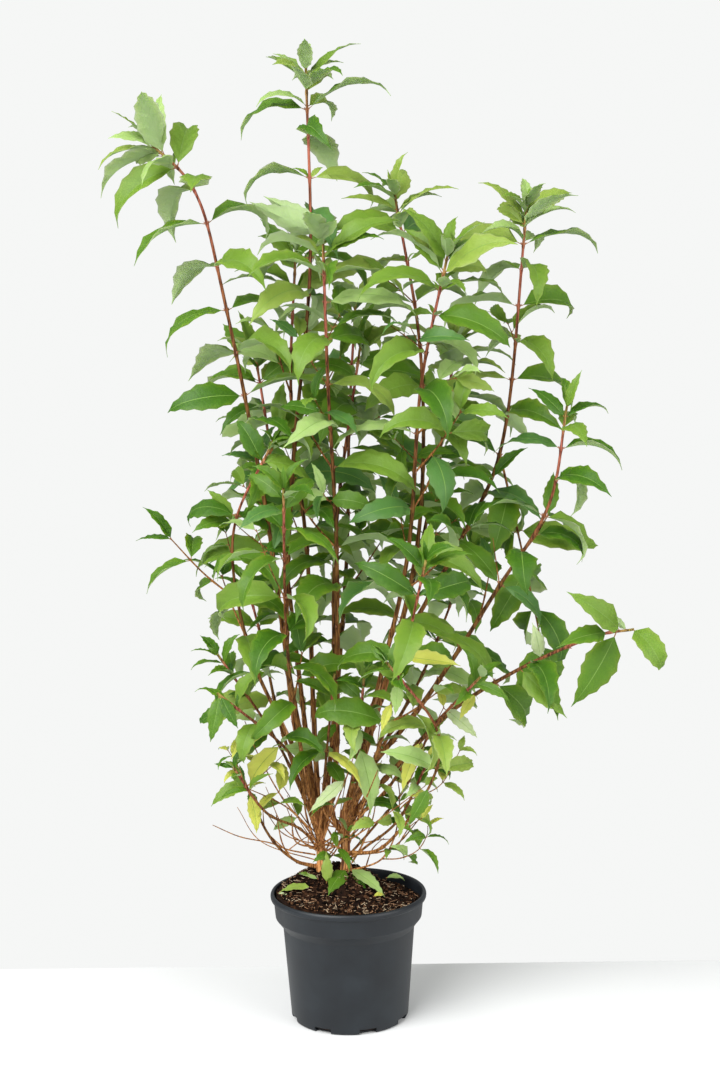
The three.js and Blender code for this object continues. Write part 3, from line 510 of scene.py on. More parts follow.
class Space:
    """What the plant has put in its space so far, to keep new leaves and twigs clear of it."""

    def __init__(self, room=8000):
        self.centre = np.zeros((room, 3))
        self.radius = np.zeros(room)
        self.keys = []
        self.faces = []

    @staticmethod
    def ball(faces):
        points = faces.reshape(-1, 3)
        centre = (points.min(0) + points.max(0)) / 2
        return centre, np.linalg.norm(points - centre, axis=1).max()

    def put(self, faces, key):
        n = len(self.keys)
        self.centre[n], self.radius[n] = self.ball(faces)
        self.keys.append(key)
        self.faces.append(faces)

    def put_tube(self, lengths, key):
        for faces in lengths:
            self.put(faces, key)

    def clear(self, faces, keys):
        n = len(self.keys)
        centre, radius = self.ball(faces)
        near = np.nonzero(np.linalg.norm(self.centre[:n] - centre, axis=1) < self.radius[:n] + radius)[0]
        others = [self.faces[i] for i in near if self.keys[i] not in keys]
        return not others or not crossing(faces, np.concatenate(others))


class Plant:
    """The whole plant as it grows. Its cane is the one that new leaves are counted with."""

    def __init__(self):
        self.space = Space()
        self.leaves = []
        self.twigs = []
        self.brush = []
        self.shanks = [self.shank_of(name, stool) for name, stool in STOOLS.items()]
        self.canes = [self.cane_of(row) for row in CANES]
        self.cane = self.canes[-1]

    @staticmethod
    def shank_of(name, stool):
        path = Path([(*stool["foot"], SOIL.crown + GAP), stool["neck"]], 4)

        def radius_at(d):
            flare = mix(stool["foot_radius"], SHANK_RADIUS, smooth(d / FLARE_HEIGHT))
            rise = (d - FLARE_HEIGHT) / (path.length - FLARE_HEIGHT)
            return np.where(d < FLARE_HEIGHT, flare, mix(SHANK_RADIUS, stool["neck_radius"], rise))

        return SimpleNamespace(name=name, path=path, radius_at=radius_at)

    @staticmethod
    def cane_of(row):
        stool = STOOLS[row["stool"]]
        foot = np.array([*stool["foot"], SOIL.crown + GAP])
        start = mix(foot, np.array(stool["neck"], float), row["rise"])
        path = Path([start, *row["through"], row["tip"]])
        stout = row.get("stout", 1)

        def radius_at(d):
            return mix(*CANE_RADIUS, d / path.length) * stout

        return SimpleNamespace(**{"stout": 1, "sides": [], **row}, path=path, radius_at=radius_at)

    def fork_of(self, cane, step=4, room=1):
        """How far up its own path a cane is clear of every other cane and of both stools."""
        others = [o for o in (*self.canes, *self.shanks) if o is not cane]
        places = np.concatenate([o.path.at(np.arange(0, o.path.length, step)) for o in others])
        widths = [o.radius_at(d) for o in others for d in np.arange(0, o.path.length, step)]
        d = cane.path.length * cane.bare
        while d > 0:
            gaps = np.linalg.norm(places - cane.path.at(d), axis=1)
            if np.any(gaps < cane.radius_at(d) + np.array(widths) + room):
                return d + step
            d -= step
        return step

    def grow_pair(self, site, key, spray):
        for half in (0, 180):
            length = site.leaf * mix(*LEAF.length_chance, site.random())
            opened = math.radians(site.open + mix(-LEAF.open_chance, LEAF.open_chance, site.random()))
            arch = math.radians(site.arch * mix(*LEAF.arch_chance, site.random()))
            roll = math.radians(mix(-LEAF.roll, LEAF.roll, site.random()))
            wander = mix(-LEAF.wander, LEAF.wander, site.random())
            for turn in TURNS_TRIED:
                out = outward(site.heading, math.radians(site.bearing + half + wander + turn))
                direction = unit(site.heading * math.cos(opened) + out * math.sin(opened))
                up = mix(site.heading, UP, LEAF.upright) - np.array([0, LEAF.facing, 0])
                up = turned(unit(up - direction * (up @ direction)), direction, roll)
                leaf = SimpleNamespace(
                    root=site.place, direction=direction, up=up, length=length, arch=arch,
                    stem=site.stem, spray=spray, young=site.young, cane=self.cane.name, tint=None,
                )
                if self.space.clear(blade(leaf, CLEAR), (key, site.stem_key)):
                    self.space.put(blade(leaf), key)
                    self.leaves.append(leaf)
                    break

    def grow_side(self, twig, site, key):
        """A twig or side shoot, turned until it is clear of the rest of the plant, or left out."""
        random = seeded(twig["seed"])
        length = twig["length"]
        pairs = max(1, math.floor(length / twig["internode"] + 0.5) - 1)
        for turn in TURNS_TRIED:
            out = outward(site.heading, math.radians(twig["bearing"] + turn))
            opened = math.radians(twig["open"])
            start = site.heading * math.cos(opened) + out * math.sin(opened)
            middle = site.place + start * length / 2
            tip = middle + start * length / 2 - UP * math.sin(math.radians(twig["droop"])) * length / 2
            path = Path([site.place, middle, tip], 6)

            def radius_at(d, path=path):
                return mix(*TWIG_RADIUS, d / path.length) * twig["stout"]

            wood = path, 0, path.length, radius_at, *PROXY["twig"]
            if not self.space.clear(np.concatenate(tube_faces(*wood, CLEAR)), (key, site.stem_key)):
                continue
            twig_key = f"{key}twig{twig['seed']}"
            self.space.put(np.concatenate(tube_faces(*wood)), twig_key)
            young = max(site.young, twig.get("young", TWIG.youth))
            joints = path.length * np.arange(1, pairs + 1) / (pairs + 1)
            self.twigs.append(SimpleNamespace(
                path=path, radius_at=radius_at, young=(site.young, young), joints=joints
            ))
            for n in range(1, pairs + 2):
                last = n == pairs + 1
                distance = path.length - GROWTH.last if last else path.length * n / (pairs + 1)
                spot = SimpleNamespace(
                    place=path.at(distance), heading=path.heading(distance), random=random,
                    bearing=TWIG.first_bearing + GROWTH.quarter * (n - 1),
                    leaf=twig["leaf"] * (TWIG.tip_leaf if last else 1),
                    open=LEAF.open_tip if last else TWIG.open_full,
                    arch=twig["arch"] * (TWIG.tip_arch if last else 1),
                    stem_key=twig_key, stem=radius_at(distance),
                    young=TWIG.tip_youth if last else young,
                )
                self.grow_pair(spot, f"{twig_key}{n}", twig_key)
            return

    def grow_twig(self, site, key):
        random = site.random
        side = 0 if random() < 0.5 else 180
        twig = dict(
            length=TWIG.length * mix(*TWIG.length_chance, random()),
            bearing=site.bearing + side + mix(-TWIG.wander, TWIG.wander, random()),
            open=TWIG.open, droop=TWIG.droop, leaf=site.leaf * TWIG.leaf,
            arch=site.arch * TWIG.arch, internode=TWIG.internode, stout=1,
            seed=math.floor(random() * 100000),
        )
        self.grow_side(twig, site, key)

    def grow_shoot(self, cane):
        """The leafy part of a cane, by the source's rule."""
        random = seeded(cane.seed)
        path = cane.path
        stem_key = cane.name + "stem"
        common = dict(leaf=cane.leaf, arch=cane.arch, internode=GROWTH.internode)
        for n, side in enumerate(cane.sides):
            along = path.length * side["share"]
            site = SimpleNamespace(
                place=path.at(along), heading=path.heading(along), stem_key=stem_key,
                young=GROWTH.side_youth,
            )
            self.grow_side({**common, "seed": cane.seed + n, **side}, site, f"{stem_key}{n}")
        places = []
        to_tip = GROWTH.last
        while to_tip < path.length - cane.leaf_from - GROWTH.first:
            places.insert(0, path.length - to_tip)
            spread = mix(GROWTH.crowded, 1, smooth(to_tip / (GROWTH.crowded_reach * cane.leaf)))
            to_tip += GROWTH.internode * spread * mix(*GROWTH.internode_chance, random())
        cane.sites = []
        crowd = CROWDED.pairs_to_full if cane.tip[2] > UPPER_ABOVE else GROWTH.pairs_to_full
        for n, along in enumerate(places):
            from_tip = len(places) - 1 - n
            grown = min(1, from_tip / GROWTH.pairs_to_full)
            full = min(1, from_tip / crowd)
            site = SimpleNamespace(
                place=path.at(along), heading=path.heading(along), random=random,
                bearing=cane.turn + GROWTH.quarter * n, leaf=cane.leaf * mix(GROWTH.tip_leaf, 1, full),
                open=mix(LEAF.open_tip, LEAF.open_full, grown),
                arch=cane.arch * mix(LEAF.arch_tip, 1, grown), stem_key=stem_key,
                stem=cane.radius_at(along), from_tip=from_tip, along=along,
                young=mix(*GROWTH.youth, min(1, from_tip / GROWTH.pairs_to_old)),
            )
            key = f"{cane.name}{n}"
            if random() < cane.laterals and from_tip > GROWTH.first_twig:
                self.grow_twig(site, key)
            self.grow_pair(site, key, key)
            cane.sites.append(site)

    def grow_finer(self, cane):
        """Twigs too fine for the solids, from the axils, and small leaves where there is no twig."""
        random = seeded(cane.seed + FINER.stream)
        for n, site in enumerate(cane.sites):
            key = f"{cane.name}{n}"
            height = site.place[2]
            above = smooth((height - FINER.low) / FINER.low_fade)
            below = smooth((FINER.high - height) / FINER.high_fade)
            chance = FINER.chance * (above * below) * min(1, cane.laterals / FINER.laterals)
            chance *= site.from_tip > FINER.clear_pairs
            for half in (0, 180):
                twigged = random() < chance
                length, swing, rise, leaf = (random() for _ in range(4))
                seed = math.floor(random() * 100000)
                if twigged:
                    twig = dict(
                        length=mix(*FINER.length, length),
                        bearing=site.bearing + half + mix(*FINER.swing, swing),
                        open=mix(*FINER.open, rise), droop=mix(*FINER.droop, swing), stout=FINER.stout,
                        leaf=cane.leaf * mix(*FINER.leaf, leaf), arch=cane.arch * FINER.arch,
                        internode=FINER.internode, seed=seed, young=FINER.youth,
                    )
                    self.grow_side(twig, site, key)
            if random() < FINER.small_chance:
                small = SimpleNamespace(**vars(site))
                small.random, small.leaf = random, mix(*FINER.small_leaf, random())
                small.open = small.arch = FINER.small_bend
                small.young = min(1, site.young + FINER.small_youth)
                self.grow_pair(small, key, key)
        tip = SimpleNamespace(**vars(cane.sites[-1]))
        tip.random, tip.young, tip.leaf = random, 1, cane.leaf * CROWDED.last_leaf
        tip.open, tip.arch = CROWDED.last_open, CROWDED.last_arch
        tip.bearing += GROWTH.quarter
        self.grow_pair(tip, key, key)
        if cane.tip[2] <= UPPER_ABOVE:
            return
        for n, site in list(enumerate(cane.sites))[-1 - CROWDED.between : -1]:
            between = SimpleNamespace(**vars(site))
            between.random, between.leaf = random, site.leaf * CROWDED.between_leaf
            between.place = cane.path.at(site.along + CROWDED.onward)
            between.bearing += CROWDED.turn
            self.grow_pair(between, f"{cane.name}{n}", key)

    def grow_brush(self):
        """The thin old twigs low down, most of them bare: some by their places, the others by chance."""
        rule = BRUSH_RULE
        random = seeded(rule.seed)
        rows = list(BRUSH)
        for n in range(rule.count):
            shank = self.shanks[n % 2]
            start = shank.path.at(shank.path.length * mix(*rule.share, random()))
            bearing = 2 * math.pi * (n * rule.golden + rule.wander * random())
            length, spread, lift = (mix(*span, random()) for span in (rule.length, rule.spread, rule.lift))
            out = np.array([math.cos(bearing), math.sin(bearing), 0])
            middle = start + length * (out * spread * rule.middle[0] + UP * lift * rule.middle[1])
            tip = start + length * (out * spread + UP * lift)
            kink = np.array([random() - 0.5, random() - 0.5, random() - 0.5]) * rule.kink
            radius = mix(*rule.radius, random())
            leaf = mix(*rule.leaf, random()) if random() < rule.leafy else 0
            rows.append((radius, leaf, [start, middle + kink, tip]))
        for n, (radius, leaf, places) in enumerate(rows):
            path = Path(places, 8)
            self.brush.append(path)

            def radius_at(d, path=path, radius=radius):
                return radius * mix(1, rule.taper, d / path.length)

            joints = path.length * np.array(rule.joints)
            self.twigs.append(SimpleNamespace(
                path=path, radius_at=radius_at, young=rule.youth, joints=joints
            ))
            key = f"brush{n}"
            for m, (share, size, opened) in enumerate(rule.pairs if leaf else ()):
                along = path.length * share
                site = SimpleNamespace(
                    place=path.at(along), heading=path.heading(along), random=random, leaf=leaf * size,
                    bearing=rule.bearing + GROWTH.quarter * m, open=opened, arch=rule.arch, stem_key=key,
                    stem=radius_at(along), young=rule.leaf_youth,
                )
                self.grow_pair(site, f"{key}{m}", key)

    def show_leaves(self):
        """The leaves that stand out, in place of those that they would cross."""
        canes = {cane.name: cane.path for cane in self.canes}
        paths = canes | {f"brush{n}": path for n, path in enumerate(self.brush)}
        bared = canes[BARED["cane"]]
        end = bared.at(bared.length)
        self.leaves = [
            leaf for leaf in self.leaves
            if leaf.cane != BARED["cane"] or np.linalg.norm(leaf.root - end) > BARED["reach"]
        ]
        rows = [(stem, *row) for stem, stem_rows in SHOWN.items() for row in stem_rows]
        for stem, from_end, reach, nod, tint, front in rows:
            path, nod = paths[stem], math.radians(nod)
            chord = unit(np.array(reach, float))
            up = np.array(FACING[front])
            up = unit(up - chord * (up @ chord))
            leaf = SimpleNamespace(
                root=path.at(path.length - from_end), stem=1, arch=nod, tint=tint, spray=stem,
                length=np.linalg.norm(reach) * (nod / 2) / math.sin(nod / 2),
                direction=chord * math.cos(nod / 2) + up * math.sin(nod / 2),
                up=up * math.cos(nod / 2) - chord * math.sin(nod / 2),
                young=SHOWN_YOUTH, cane=stem if stem in canes else self.cane.name,
            )
            own = blade(leaf, CLEAR)
            self.leaves = [
                other for other in self.leaves
                if other.tint or np.linalg.norm(other.root - leaf.root) > CROSSES_WITHIN
                or not crossing(own, blade(other))
            ]
            self.leaves.append(leaf)


@cache
def plant():
    """Grows the plant once: by the source's rule, then by the finer one."""
    grown = Plant()
    for cane in grown.canes:
        cane.fork_at = grown.fork_of(cane)
        cane.leaf_from = max(cane.path.length * cane.bare, cane.fork_at + GROWTH.above_fork)
    space = grown.space
    for shank in grown.shanks:
        wood = shank.path, 0, shank.path.length, shank.radius_at, *PROXY["shank"]
        space.put_tube(tube_faces(*wood), "limb")
    for cane in grown.canes:
        wood = cane.path, 0, cane.leaf_from, cane.radius_at, *PROXY["cane"]
        space.put_tube(tube_faces(*wood), "limb")
        wood = cane.path, cane.leaf_from, cane.path.length, cane.radius_at, *PROXY["stem"]
        space.put_tube(tube_faces(*wood), cane.name + "stem")
    for cane in grown.canes:
        grown.cane = cane
        grown.grow_shoot(cane)
    for cane in grown.canes:
        grown.cane = cane
        grown.grow_finer(cane)
    grown.grow_brush()
    grown.show_leaves()
    return grown


def linear(colour):
    """A colour as a screen shows it, turned to the linear values that shaders take."""
    channels = [int(colour[i : i + 2], 16) / 255 for i in (1, 3, 5)]
    return (*(c / 12.92 if c <= 0.04045 else ((c + 0.055) / 1.055) ** 2.4 for c in channels), 1)


def add(tree, kind, inputs=None, **settings):
    """One shader node, with its settings and with its inputs set or linked."""
    made = tree.nodes.new(kind)
    for name, value in settings.items():
        setattr(made, name, value)
    for name, value in (inputs or {}).items():
        if isinstance(value, bpy.types.NodeSocket):
            tree.links.new(value, made.inputs[name])
        else:
            made.inputs[name].default_value = value
    return made


def finish(name, colour, roughness, **more):
    """A new material with a Principled shader, and its tree and shader."""
    material = bpy.data.materials.new(name)
    material.use_nodes = True
    material.diffuse_color = linear(colour)
    tree = material.node_tree
    shader = tree.nodes["Principled BSDF"]
    shader.inputs["Base Color"].default_value = linear(colour)
    shader.inputs["Roughness"].default_value = roughness
    for socket, value in more.items():
        shader.inputs[socket.replace("_", " ")].default_value = value
    return material, tree, shader


def plain_finishes(roughness, colours, **more):
    """A finish without a texture for each name and colour."""
    return [finish(name, colour, roughness, **more)[0] for name, colour in colours.items()]


def ramp(tree, factor, stops):
    """A colour ramp through sRGB colours at the places given."""
    made = add(tree, "ShaderNodeValToRGB", {"Fac": factor})
    elements = made.color_ramp.elements
    while len(elements) < len(stops):
        elements.new(0.5)
    for element, (place, colour) in zip(elements, stops):
        element.position = place
        element.color = linear(colour)
    return made.outputs["Color"]


def stems():
    """Every stem of the plant, from the oldest wood to the finest twigs."""
    grown = plant()
    made = []
    for shank in grown.shanks:
        made.append(SimpleNamespace(
            path=shank.path, radius_at=shank.radius_at, young=SHANK_YOUTH, joints=[], **WOOD["shank"]
        ))
    for cane in grown.canes:
        sites = [site.along for site in cane.sites[:-2]]
        below = np.arange(sites[0] - GROWTH.internode, cane.fork_at * BARE_JOINTS_DOWN_TO, -GROWTH.internode)
        cane.bare_joints = list(below)

        def radius_at(d, cane=cane):
            return np.maximum(cane.radius_at(d) * BARK_THICKENS, CANE_END)

        made.append(SimpleNamespace(
            path=cane.path, radius_at=radius_at, young=CANE_YOUTH, joints=[*sites, *below], **WOOD["cane"]
        ))
    made += [SimpleNamespace(**vars(twig), **WOOD["twig"]) for twig in grown.twigs]
    return made


@cache
def rolled(sides, rings):
    """A tube one unit long: a grid rolled up and closed. Its vertices as (cos, sin, share), its faces."""
    bm = bmesh.new()
    bmesh.ops.create_grid(bm, x_segments=sides, y_segments=rings, size=0.5)
    for v in bm.verts:
        round_by, share = (v.co.x + 0.5) * 2 * math.pi, v.co.y + 0.5
        v.co = math.cos(round_by), math.sin(round_by), share * 10
    bmesh.ops.remove_doubles(bm, verts=bm.verts, dist=0.001)
    bmesh.ops.holes_fill(bm, edges=[e for e in bm.edges if e.is_boundary], sides=0)
    bmesh.ops.recalc_face_normals(bm, faces=bm.faces)
    return taken(bm, (1, 1, 0.1))


def taken(bm, scale=(1, 1, 1)):
    """A template as arrays: its vertices, the vertices of its faces in turn, and the faces' sizes."""
    bm.verts.index_update()
    points = np.array([v.co[:] for v in bm.verts]) * scale
    corners = np.array([v.index for f in bm.faces for v in f.verts])
    sizes = np.array([len(f.verts) for f in bm.faces])
    bm.free()
    return SimpleNamespace(points=points, corners=corners, sizes=sizes)


class Joined:
    """Many copies of templates, each bent to its own place, joined as one mesh."""

    def __init__(self):
        self.points, self.corners, self.sizes, self.slots, self.youth = [], [], [], [], []
        self.count = 0

    def put(self, template, points, slots=0, youth=0.0):
        """One copy of a template with its vertices at points, in millimetres."""
        self.points.append(points)
        self.corners.append(template.corners + self.count)
        self.sizes.append(template.sizes)
        self.slots.append(np.broadcast_to(slots, len(template.sizes)))
        self.youth.append(np.broadcast_to(youth, len(points)))
        self.count += len(points)

    def piece(self, name, materials):
        corners, sizes = np.concatenate(self.corners), np.concatenate(self.sizes)
        mesh = bpy.data.meshes.new(name)
        mesh.vertices.add(self.count)
        mesh.vertices.foreach_set("co", (np.concatenate(self.points) * MM).ravel())
        mesh.loops.add(len(corners))
        mesh.loops.foreach_set("vertex_index", corners)
        mesh.polygons.add(len(sizes))
        mesh.polygons.foreach_set("loop_start", np.cumsum(sizes) - sizes)
        for material in materials:
            mesh.materials.append(material)
        mesh.polygons.foreach_set("material_index", np.concatenate(self.slots))
        mesh.update(calc_edges=True)
        mesh.validate()
        youth = mesh.attributes.new("youth", "FLOAT", "POINT")
        youth.data.foreach_set("value", np.concatenate(self.youth).astype(np.float32))
        return shown(name, mesh)


def shown(name, mesh, sharp=50):
    """An object of that mesh in the scene, shaded smooth but for its sharp edges."""
    mesh.polygons.foreach_set("use_smooth", np.ones(len(mesh.polygons), bool))
    mesh.set_sharp_from_angle(angle=math.radians(sharp))
    piece = bpy.data.objects.new(name, mesh)
    bpy.context.scene.collection.objects.link(piece)
    return piece


def meshed(name, bm, materials=()):
    """The piece made of a finished bmesh."""
    bmesh.ops.recalc_face_normals(bm, faces=bm.faces)
    mesh = bpy.data.meshes.new(name)
    bm.to_mesh(mesh)
    bm.free()
    for material in materials:
        mesh.materials.append(material)
    return shown(name, mesh)


def placed(piece, slot, *nodes):
    """Sets a piece to ride on the one body, and hides those nodes, which it stands for."""
    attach(piece, "root")
    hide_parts(*nodes)


def soil_height(x, y):
    away = np.hypot(x - SOIL.crown_x, y - SOIL.crown_y)
    drop = SOIL.fall + SOIL.tilt * (x + y) / POT.body_top
    return SOIL.crown - drop * smooth((away - SOIL.crown_radius) / SOIL.fall_radius)


def spun(bm, outline, steps):
    """A closed body turned from an outline of (radius, height) that starts and ends on the axis."""
    verts = [bm.verts.new((r * MM, 0, z * MM)) for r, z in outline]
    edges = [bm.edges.new(pair) for pair in zip(verts, verts[1:])]
    bmesh.ops.spin(
        bm, geom=verts + edges, cent=(0, 0, 0), axis=(0, 0, 1), angle=2 * math.pi, steps=steps,
        use_merge=True,
    )
    bmesh.ops.remove_doubles(bm, verts=bm.verts, dist=0.01 * MM)


class PlantPot(bpy.types.PropertyGroup):
    turn_steps: bpy.props.IntProperty(
        name="Turn Steps", description="Faces round the pot", default=128, min=24, max=256
    )
    edge: bpy.props.FloatProperty(
        name="Edge", description="Radius of the moulded edges", default=0.0009, min=0.0001, max=0.003,
        unit="LENGTH", subtype="DISTANCE",
    )


class PlantSoil(bpy.types.PropertyGroup):
    relief: bpy.props.FloatProperty(
        name="Relief", description="Height of the lumps in the peat", default=0.0026, min=0, max=0.01,
        unit="LENGTH", subtype="DISTANCE",
    )
    crumbs: bpy.props.IntProperty(
        name="Crumbs", description="Loose crumbs on the peat", default=3600, min=0, max=8000
    )
    fibres: bpy.props.IntProperty(
        name="Fibres", description="Bits of fibre and bark on the peat", default=420, min=0, max=2000
    )


class PlantStems(bpy.types.PropertyGroup):
    swelling: bpy.props.FloatProperty(
        name="Swelling", description="How much thicker a stem is at a joint", default=0.34, min=0, max=1,
        subtype="FACTOR",
    )
    strips: bpy.props.IntProperty(
        name="Strips", description="Strips of peeling bark on the old wood", default=150, min=0, max=600
    )


class PlantLeaves(bpy.types.PropertyGroup):
    thickness: bpy.props.FloatProperty(
        name="Thickness", description="Thickness of a leaf's blade", default=0.0005, min=0.0002, max=0.002,
        unit="LENGTH", subtype="DISTANCE",
    )
    tooth: bpy.props.FloatProperty(
        name="Tooth", description="Depth of the teeth on a leaf's edge", default=0.0011, min=0, max=0.003,
        unit="LENGTH", subtype="DISTANCE",
    )
    quilt: bpy.props.FloatProperty(
        name="Quilting", description="Rise of the blade between its veins", default=0.0013, min=0,
        max=0.003, unit="LENGTH", subtype="DISTANCE",
    )


class PlantStage(bpy.types.PropertyGroup):
    key_light: bpy.props.FloatProperty(
        name="Key Light", description="Power of the large soft light", default=165, min=0, max=500,
        unit="POWER",
    )
    surround: bpy.props.FloatProperty(
        name="Surround", description="Brightness of the pale surround in the picture", default=0.98, min=0,
        max=3, subtype="FACTOR",
    )
    ambient: bpy.props.FloatProperty(
        name="Ambient", description="Strength of the light that the surround gives", default=0.5, min=0,
        max=3, subtype="FACTOR",
    )


class PLANT_OT_pot(bpy.types.Operator):
    """Turns the nursery pot from its outline and cuts the drain slots round its foot"""

    bl_idname = "plant.pot"
    bl_label = "Pot"

    def execute(self, context):
        settings = context.scene.plant_pot
        band = POT.height - POT.rim_band
        rise = POT.body_top_height - POT.foot_round
        heights = [POT.drain_height + over for over in POT.rings_over_drains]
        low_rings = [(mix(POT.foot, POT.body_top, (z - POT.foot_round) / rise), z) for z in heights]
        corner = POT.foot_round * POT.foot_corner
        collar_rise, body_rise, foot_rise = POT.inside_rises
        outline = [
            (0, 0), (POT.foot - POT.foot_round, 0), (POT.foot - corner, corner),
            (POT.foot, POT.foot_round), *low_rings, (POT.body_top, POT.body_top_height),
            (POT.collar - POT.edge_round, POT.collar_foot), (POT.collar, POT.collar_foot + POT.edge_round),
            (POT.rim - POT.rim_step, band - POT.edge_round), (POT.rim - POT.edge_round / 3, band),
            (POT.rim, POT.height - 2 * POT.edge_round), (POT.rim - POT.edge_round, POT.height),
            (POT.rim - POT.rim_wall, POT.height - POT.edge_round / 3),
            (POT.rim - POT.rim_step - POT.wall, band), (POT.collar - POT.wall, POT.collar_foot + collar_rise),
            (POT.body_top - POT.wall, POT.body_top_height + body_rise),
            (POT.foot - POT.wall, POT.foot_round + foot_rise),
            (POT.foot - POT.foot_round, POT.floor), (0, POT.floor),
        ]
        bm = bmesh.new()
        spun(bm, outline, settings.turn_steps)
        bmesh.ops.recalc_face_normals(bm, faces=bm.faces)
        bent = [e for e in bm.edges if e.is_manifold and e.calc_face_angle() > math.radians(POT.bevels_from)]
        bmesh.ops.bevel(
            bm, geom=bent, offset=settings.edge, segments=2, profile=0.5, affect="EDGES", material=-1,
            clamp_overlap=True,
        )
        pot = meshed("pot_shell", bm, [pot_finish()])
        self.cut_drains(context, pot)
        placed(pot, "pot", "pot")
        return {"FINISHED"}

    @staticmethod
    def cut_drains(context, pot):
        bm = bmesh.new()
        size = Vector((POT.drain_depth, POT.drain_width, 2 * POT.drain_height)) * MM
        for n in range(POT.drains):
            cube = bmesh.ops.create_cube(bm, size=1)["verts"]
            bmesh.ops.scale(bm, vec=size, verts=cube)
            bmesh.ops.translate(bm, vec=(POT.foot * MM, 0, 0), verts=cube)
            turn = Matrix.Rotation(math.radians(360 / POT.drains * (n + POT.drain_turn)), 3, "Z")
            bmesh.ops.rotate(bm, cent=(0, 0, 0), matrix=turn, verts=cube)
        cutter = meshed("pot_drains", bm)
        cut = pot.modifiers.new("Drains", "BOOLEAN")
        cut.object, cut.operation, cut.solver = cutter, "DIFFERENCE", "EXACT"
        made = bpy.data.meshes.new_from_object(pot.evaluated_get(context.evaluated_depsgraph_get()))
        pot.modifiers.clear()
        pot.data = made
        bpy.data.objects.remove(cutter)


def pot_finish():
    """Moulded polypropylene: satin charcoal with a faint cloudiness and a film of dried dust."""
    material, tree, shader = finish(
        "Charcoal moulded polypropylene", "#14181D", 0.42, Specular_IOR_Level=0.36
    )
    place = add(tree, "ShaderNodeTexCoord").outputs["Object"]
    cloud = add(tree, "ShaderNodeTexNoise", {"Vector": place, "Scale": 1 / (40 * MM), "Detail": 4.0})
    grain = add(tree, "ShaderNodeTexNoise", {"Vector": place, "Scale": 1 / (0.8 * MM), "Detail": 2.0})
    colour = ramp(tree, cloud.outputs["Fac"], [(0.3, "#12161B"), (0.55, "#171C21"), (0.8, "#20262B")])
    tree.links.new(colour, shader.inputs["Base Color"])
    rough = add(tree, "ShaderNodeMapRange", {"Value": cloud.outputs["Fac"], "To Min": 0.38, "To Max": 0.52})
    tree.links.new(rough.outputs["Result"], shader.inputs["Roughness"])
    bump = add(
        tree, "ShaderNodeBump", {"Height": grain.outputs["Fac"], "Strength": 0.2, "Distance": 0.06 * MM}
    )
    tree.links.new(bump.outputs["Normal"], shader.inputs["Normal"])
    return material


def soil_finish():
    """Damp peat compost: dark brown, rough, with paler dry lumps."""
    material, tree, shader = finish("Peat compost", "#33221A", 0.95, Specular_IOR_Level=0.1)
    place = add(tree, "ShaderNodeTexCoord").outputs["Object"]
    lumps = add(tree, "ShaderNodeTexNoise", {"Vector": place, "Scale": 1 / (7 * MM), "Detail": 8.0})
    colour = ramp(
        tree, lumps.outputs["Fac"], [(0.3, "#0F0805"), (0.5, "#1F120B"), (0.64, "#352114"), (0.82, "#5A4028")]
    )
    tree.links.new(colour, shader.inputs["Base Color"])
    bump = add(
        tree, "ShaderNodeBump", {"Height": lumps.outputs["Fac"], "Strength": 0.8, "Distance": 1.2 * MM}
    )
    tree.links.new(bump.outputs["Normal"], shader.inputs["Normal"])
    return material


class PLANT_OT_soil(bpy.types.Operator):
    """Turns the root ball and heaps its lumpy top round the stems"""

    bl_idname = "plant.soil"
    bl_label = "Soil"

    def execute(self, context):
        settings = context.scene.plant_soil
        in_by = POT.wall + GAP
        edge = POT.collar - in_by + SOIL.edge_out
        top = [(edge * (1 - n / SOIL.rings), POT.height) for n in range(SOIL.rings)]
        outline = [
            (0, POT.floor + GAP), (POT.foot - POT.foot_round - SOIL.foot_in, POT.floor + GAP),
            (POT.foot - in_by - SOIL.low_in, POT.foot_round + SOIL.low_up),
            (POT.body_top - in_by, POT.body_top_height + SOIL.body_up),
            (POT.collar - in_by - SOIL.collar_in, POT.collar_foot + POT.inside_rises[0]),
            *top, (0, POT.height),
        ]
        bm = bmesh.new()
        spun(bm, outline, SOIL.turn_steps)
        for v in bm.verts:
            if abs(v.co.z - POT.height * MM) > 0.01 * MM:
                continue
            place = v.co / MM
            height = float(soil_height(place.x, place.y))
            flat = Vector((place.x, place.y, 0))
            lumps = noise.fractal(flat / SOIL.lump, 0.8, 2.1, 4)
            lumps += SOIL.grit_share * noise.noise(flat / SOIL.grit)
            v.co.z = height * MM + lumps * settings.relief
        soil = meshed("soil_top", bm, [soil_finish()])
        placed(soil, "soil", "soil")
        return {"FINISHED"}


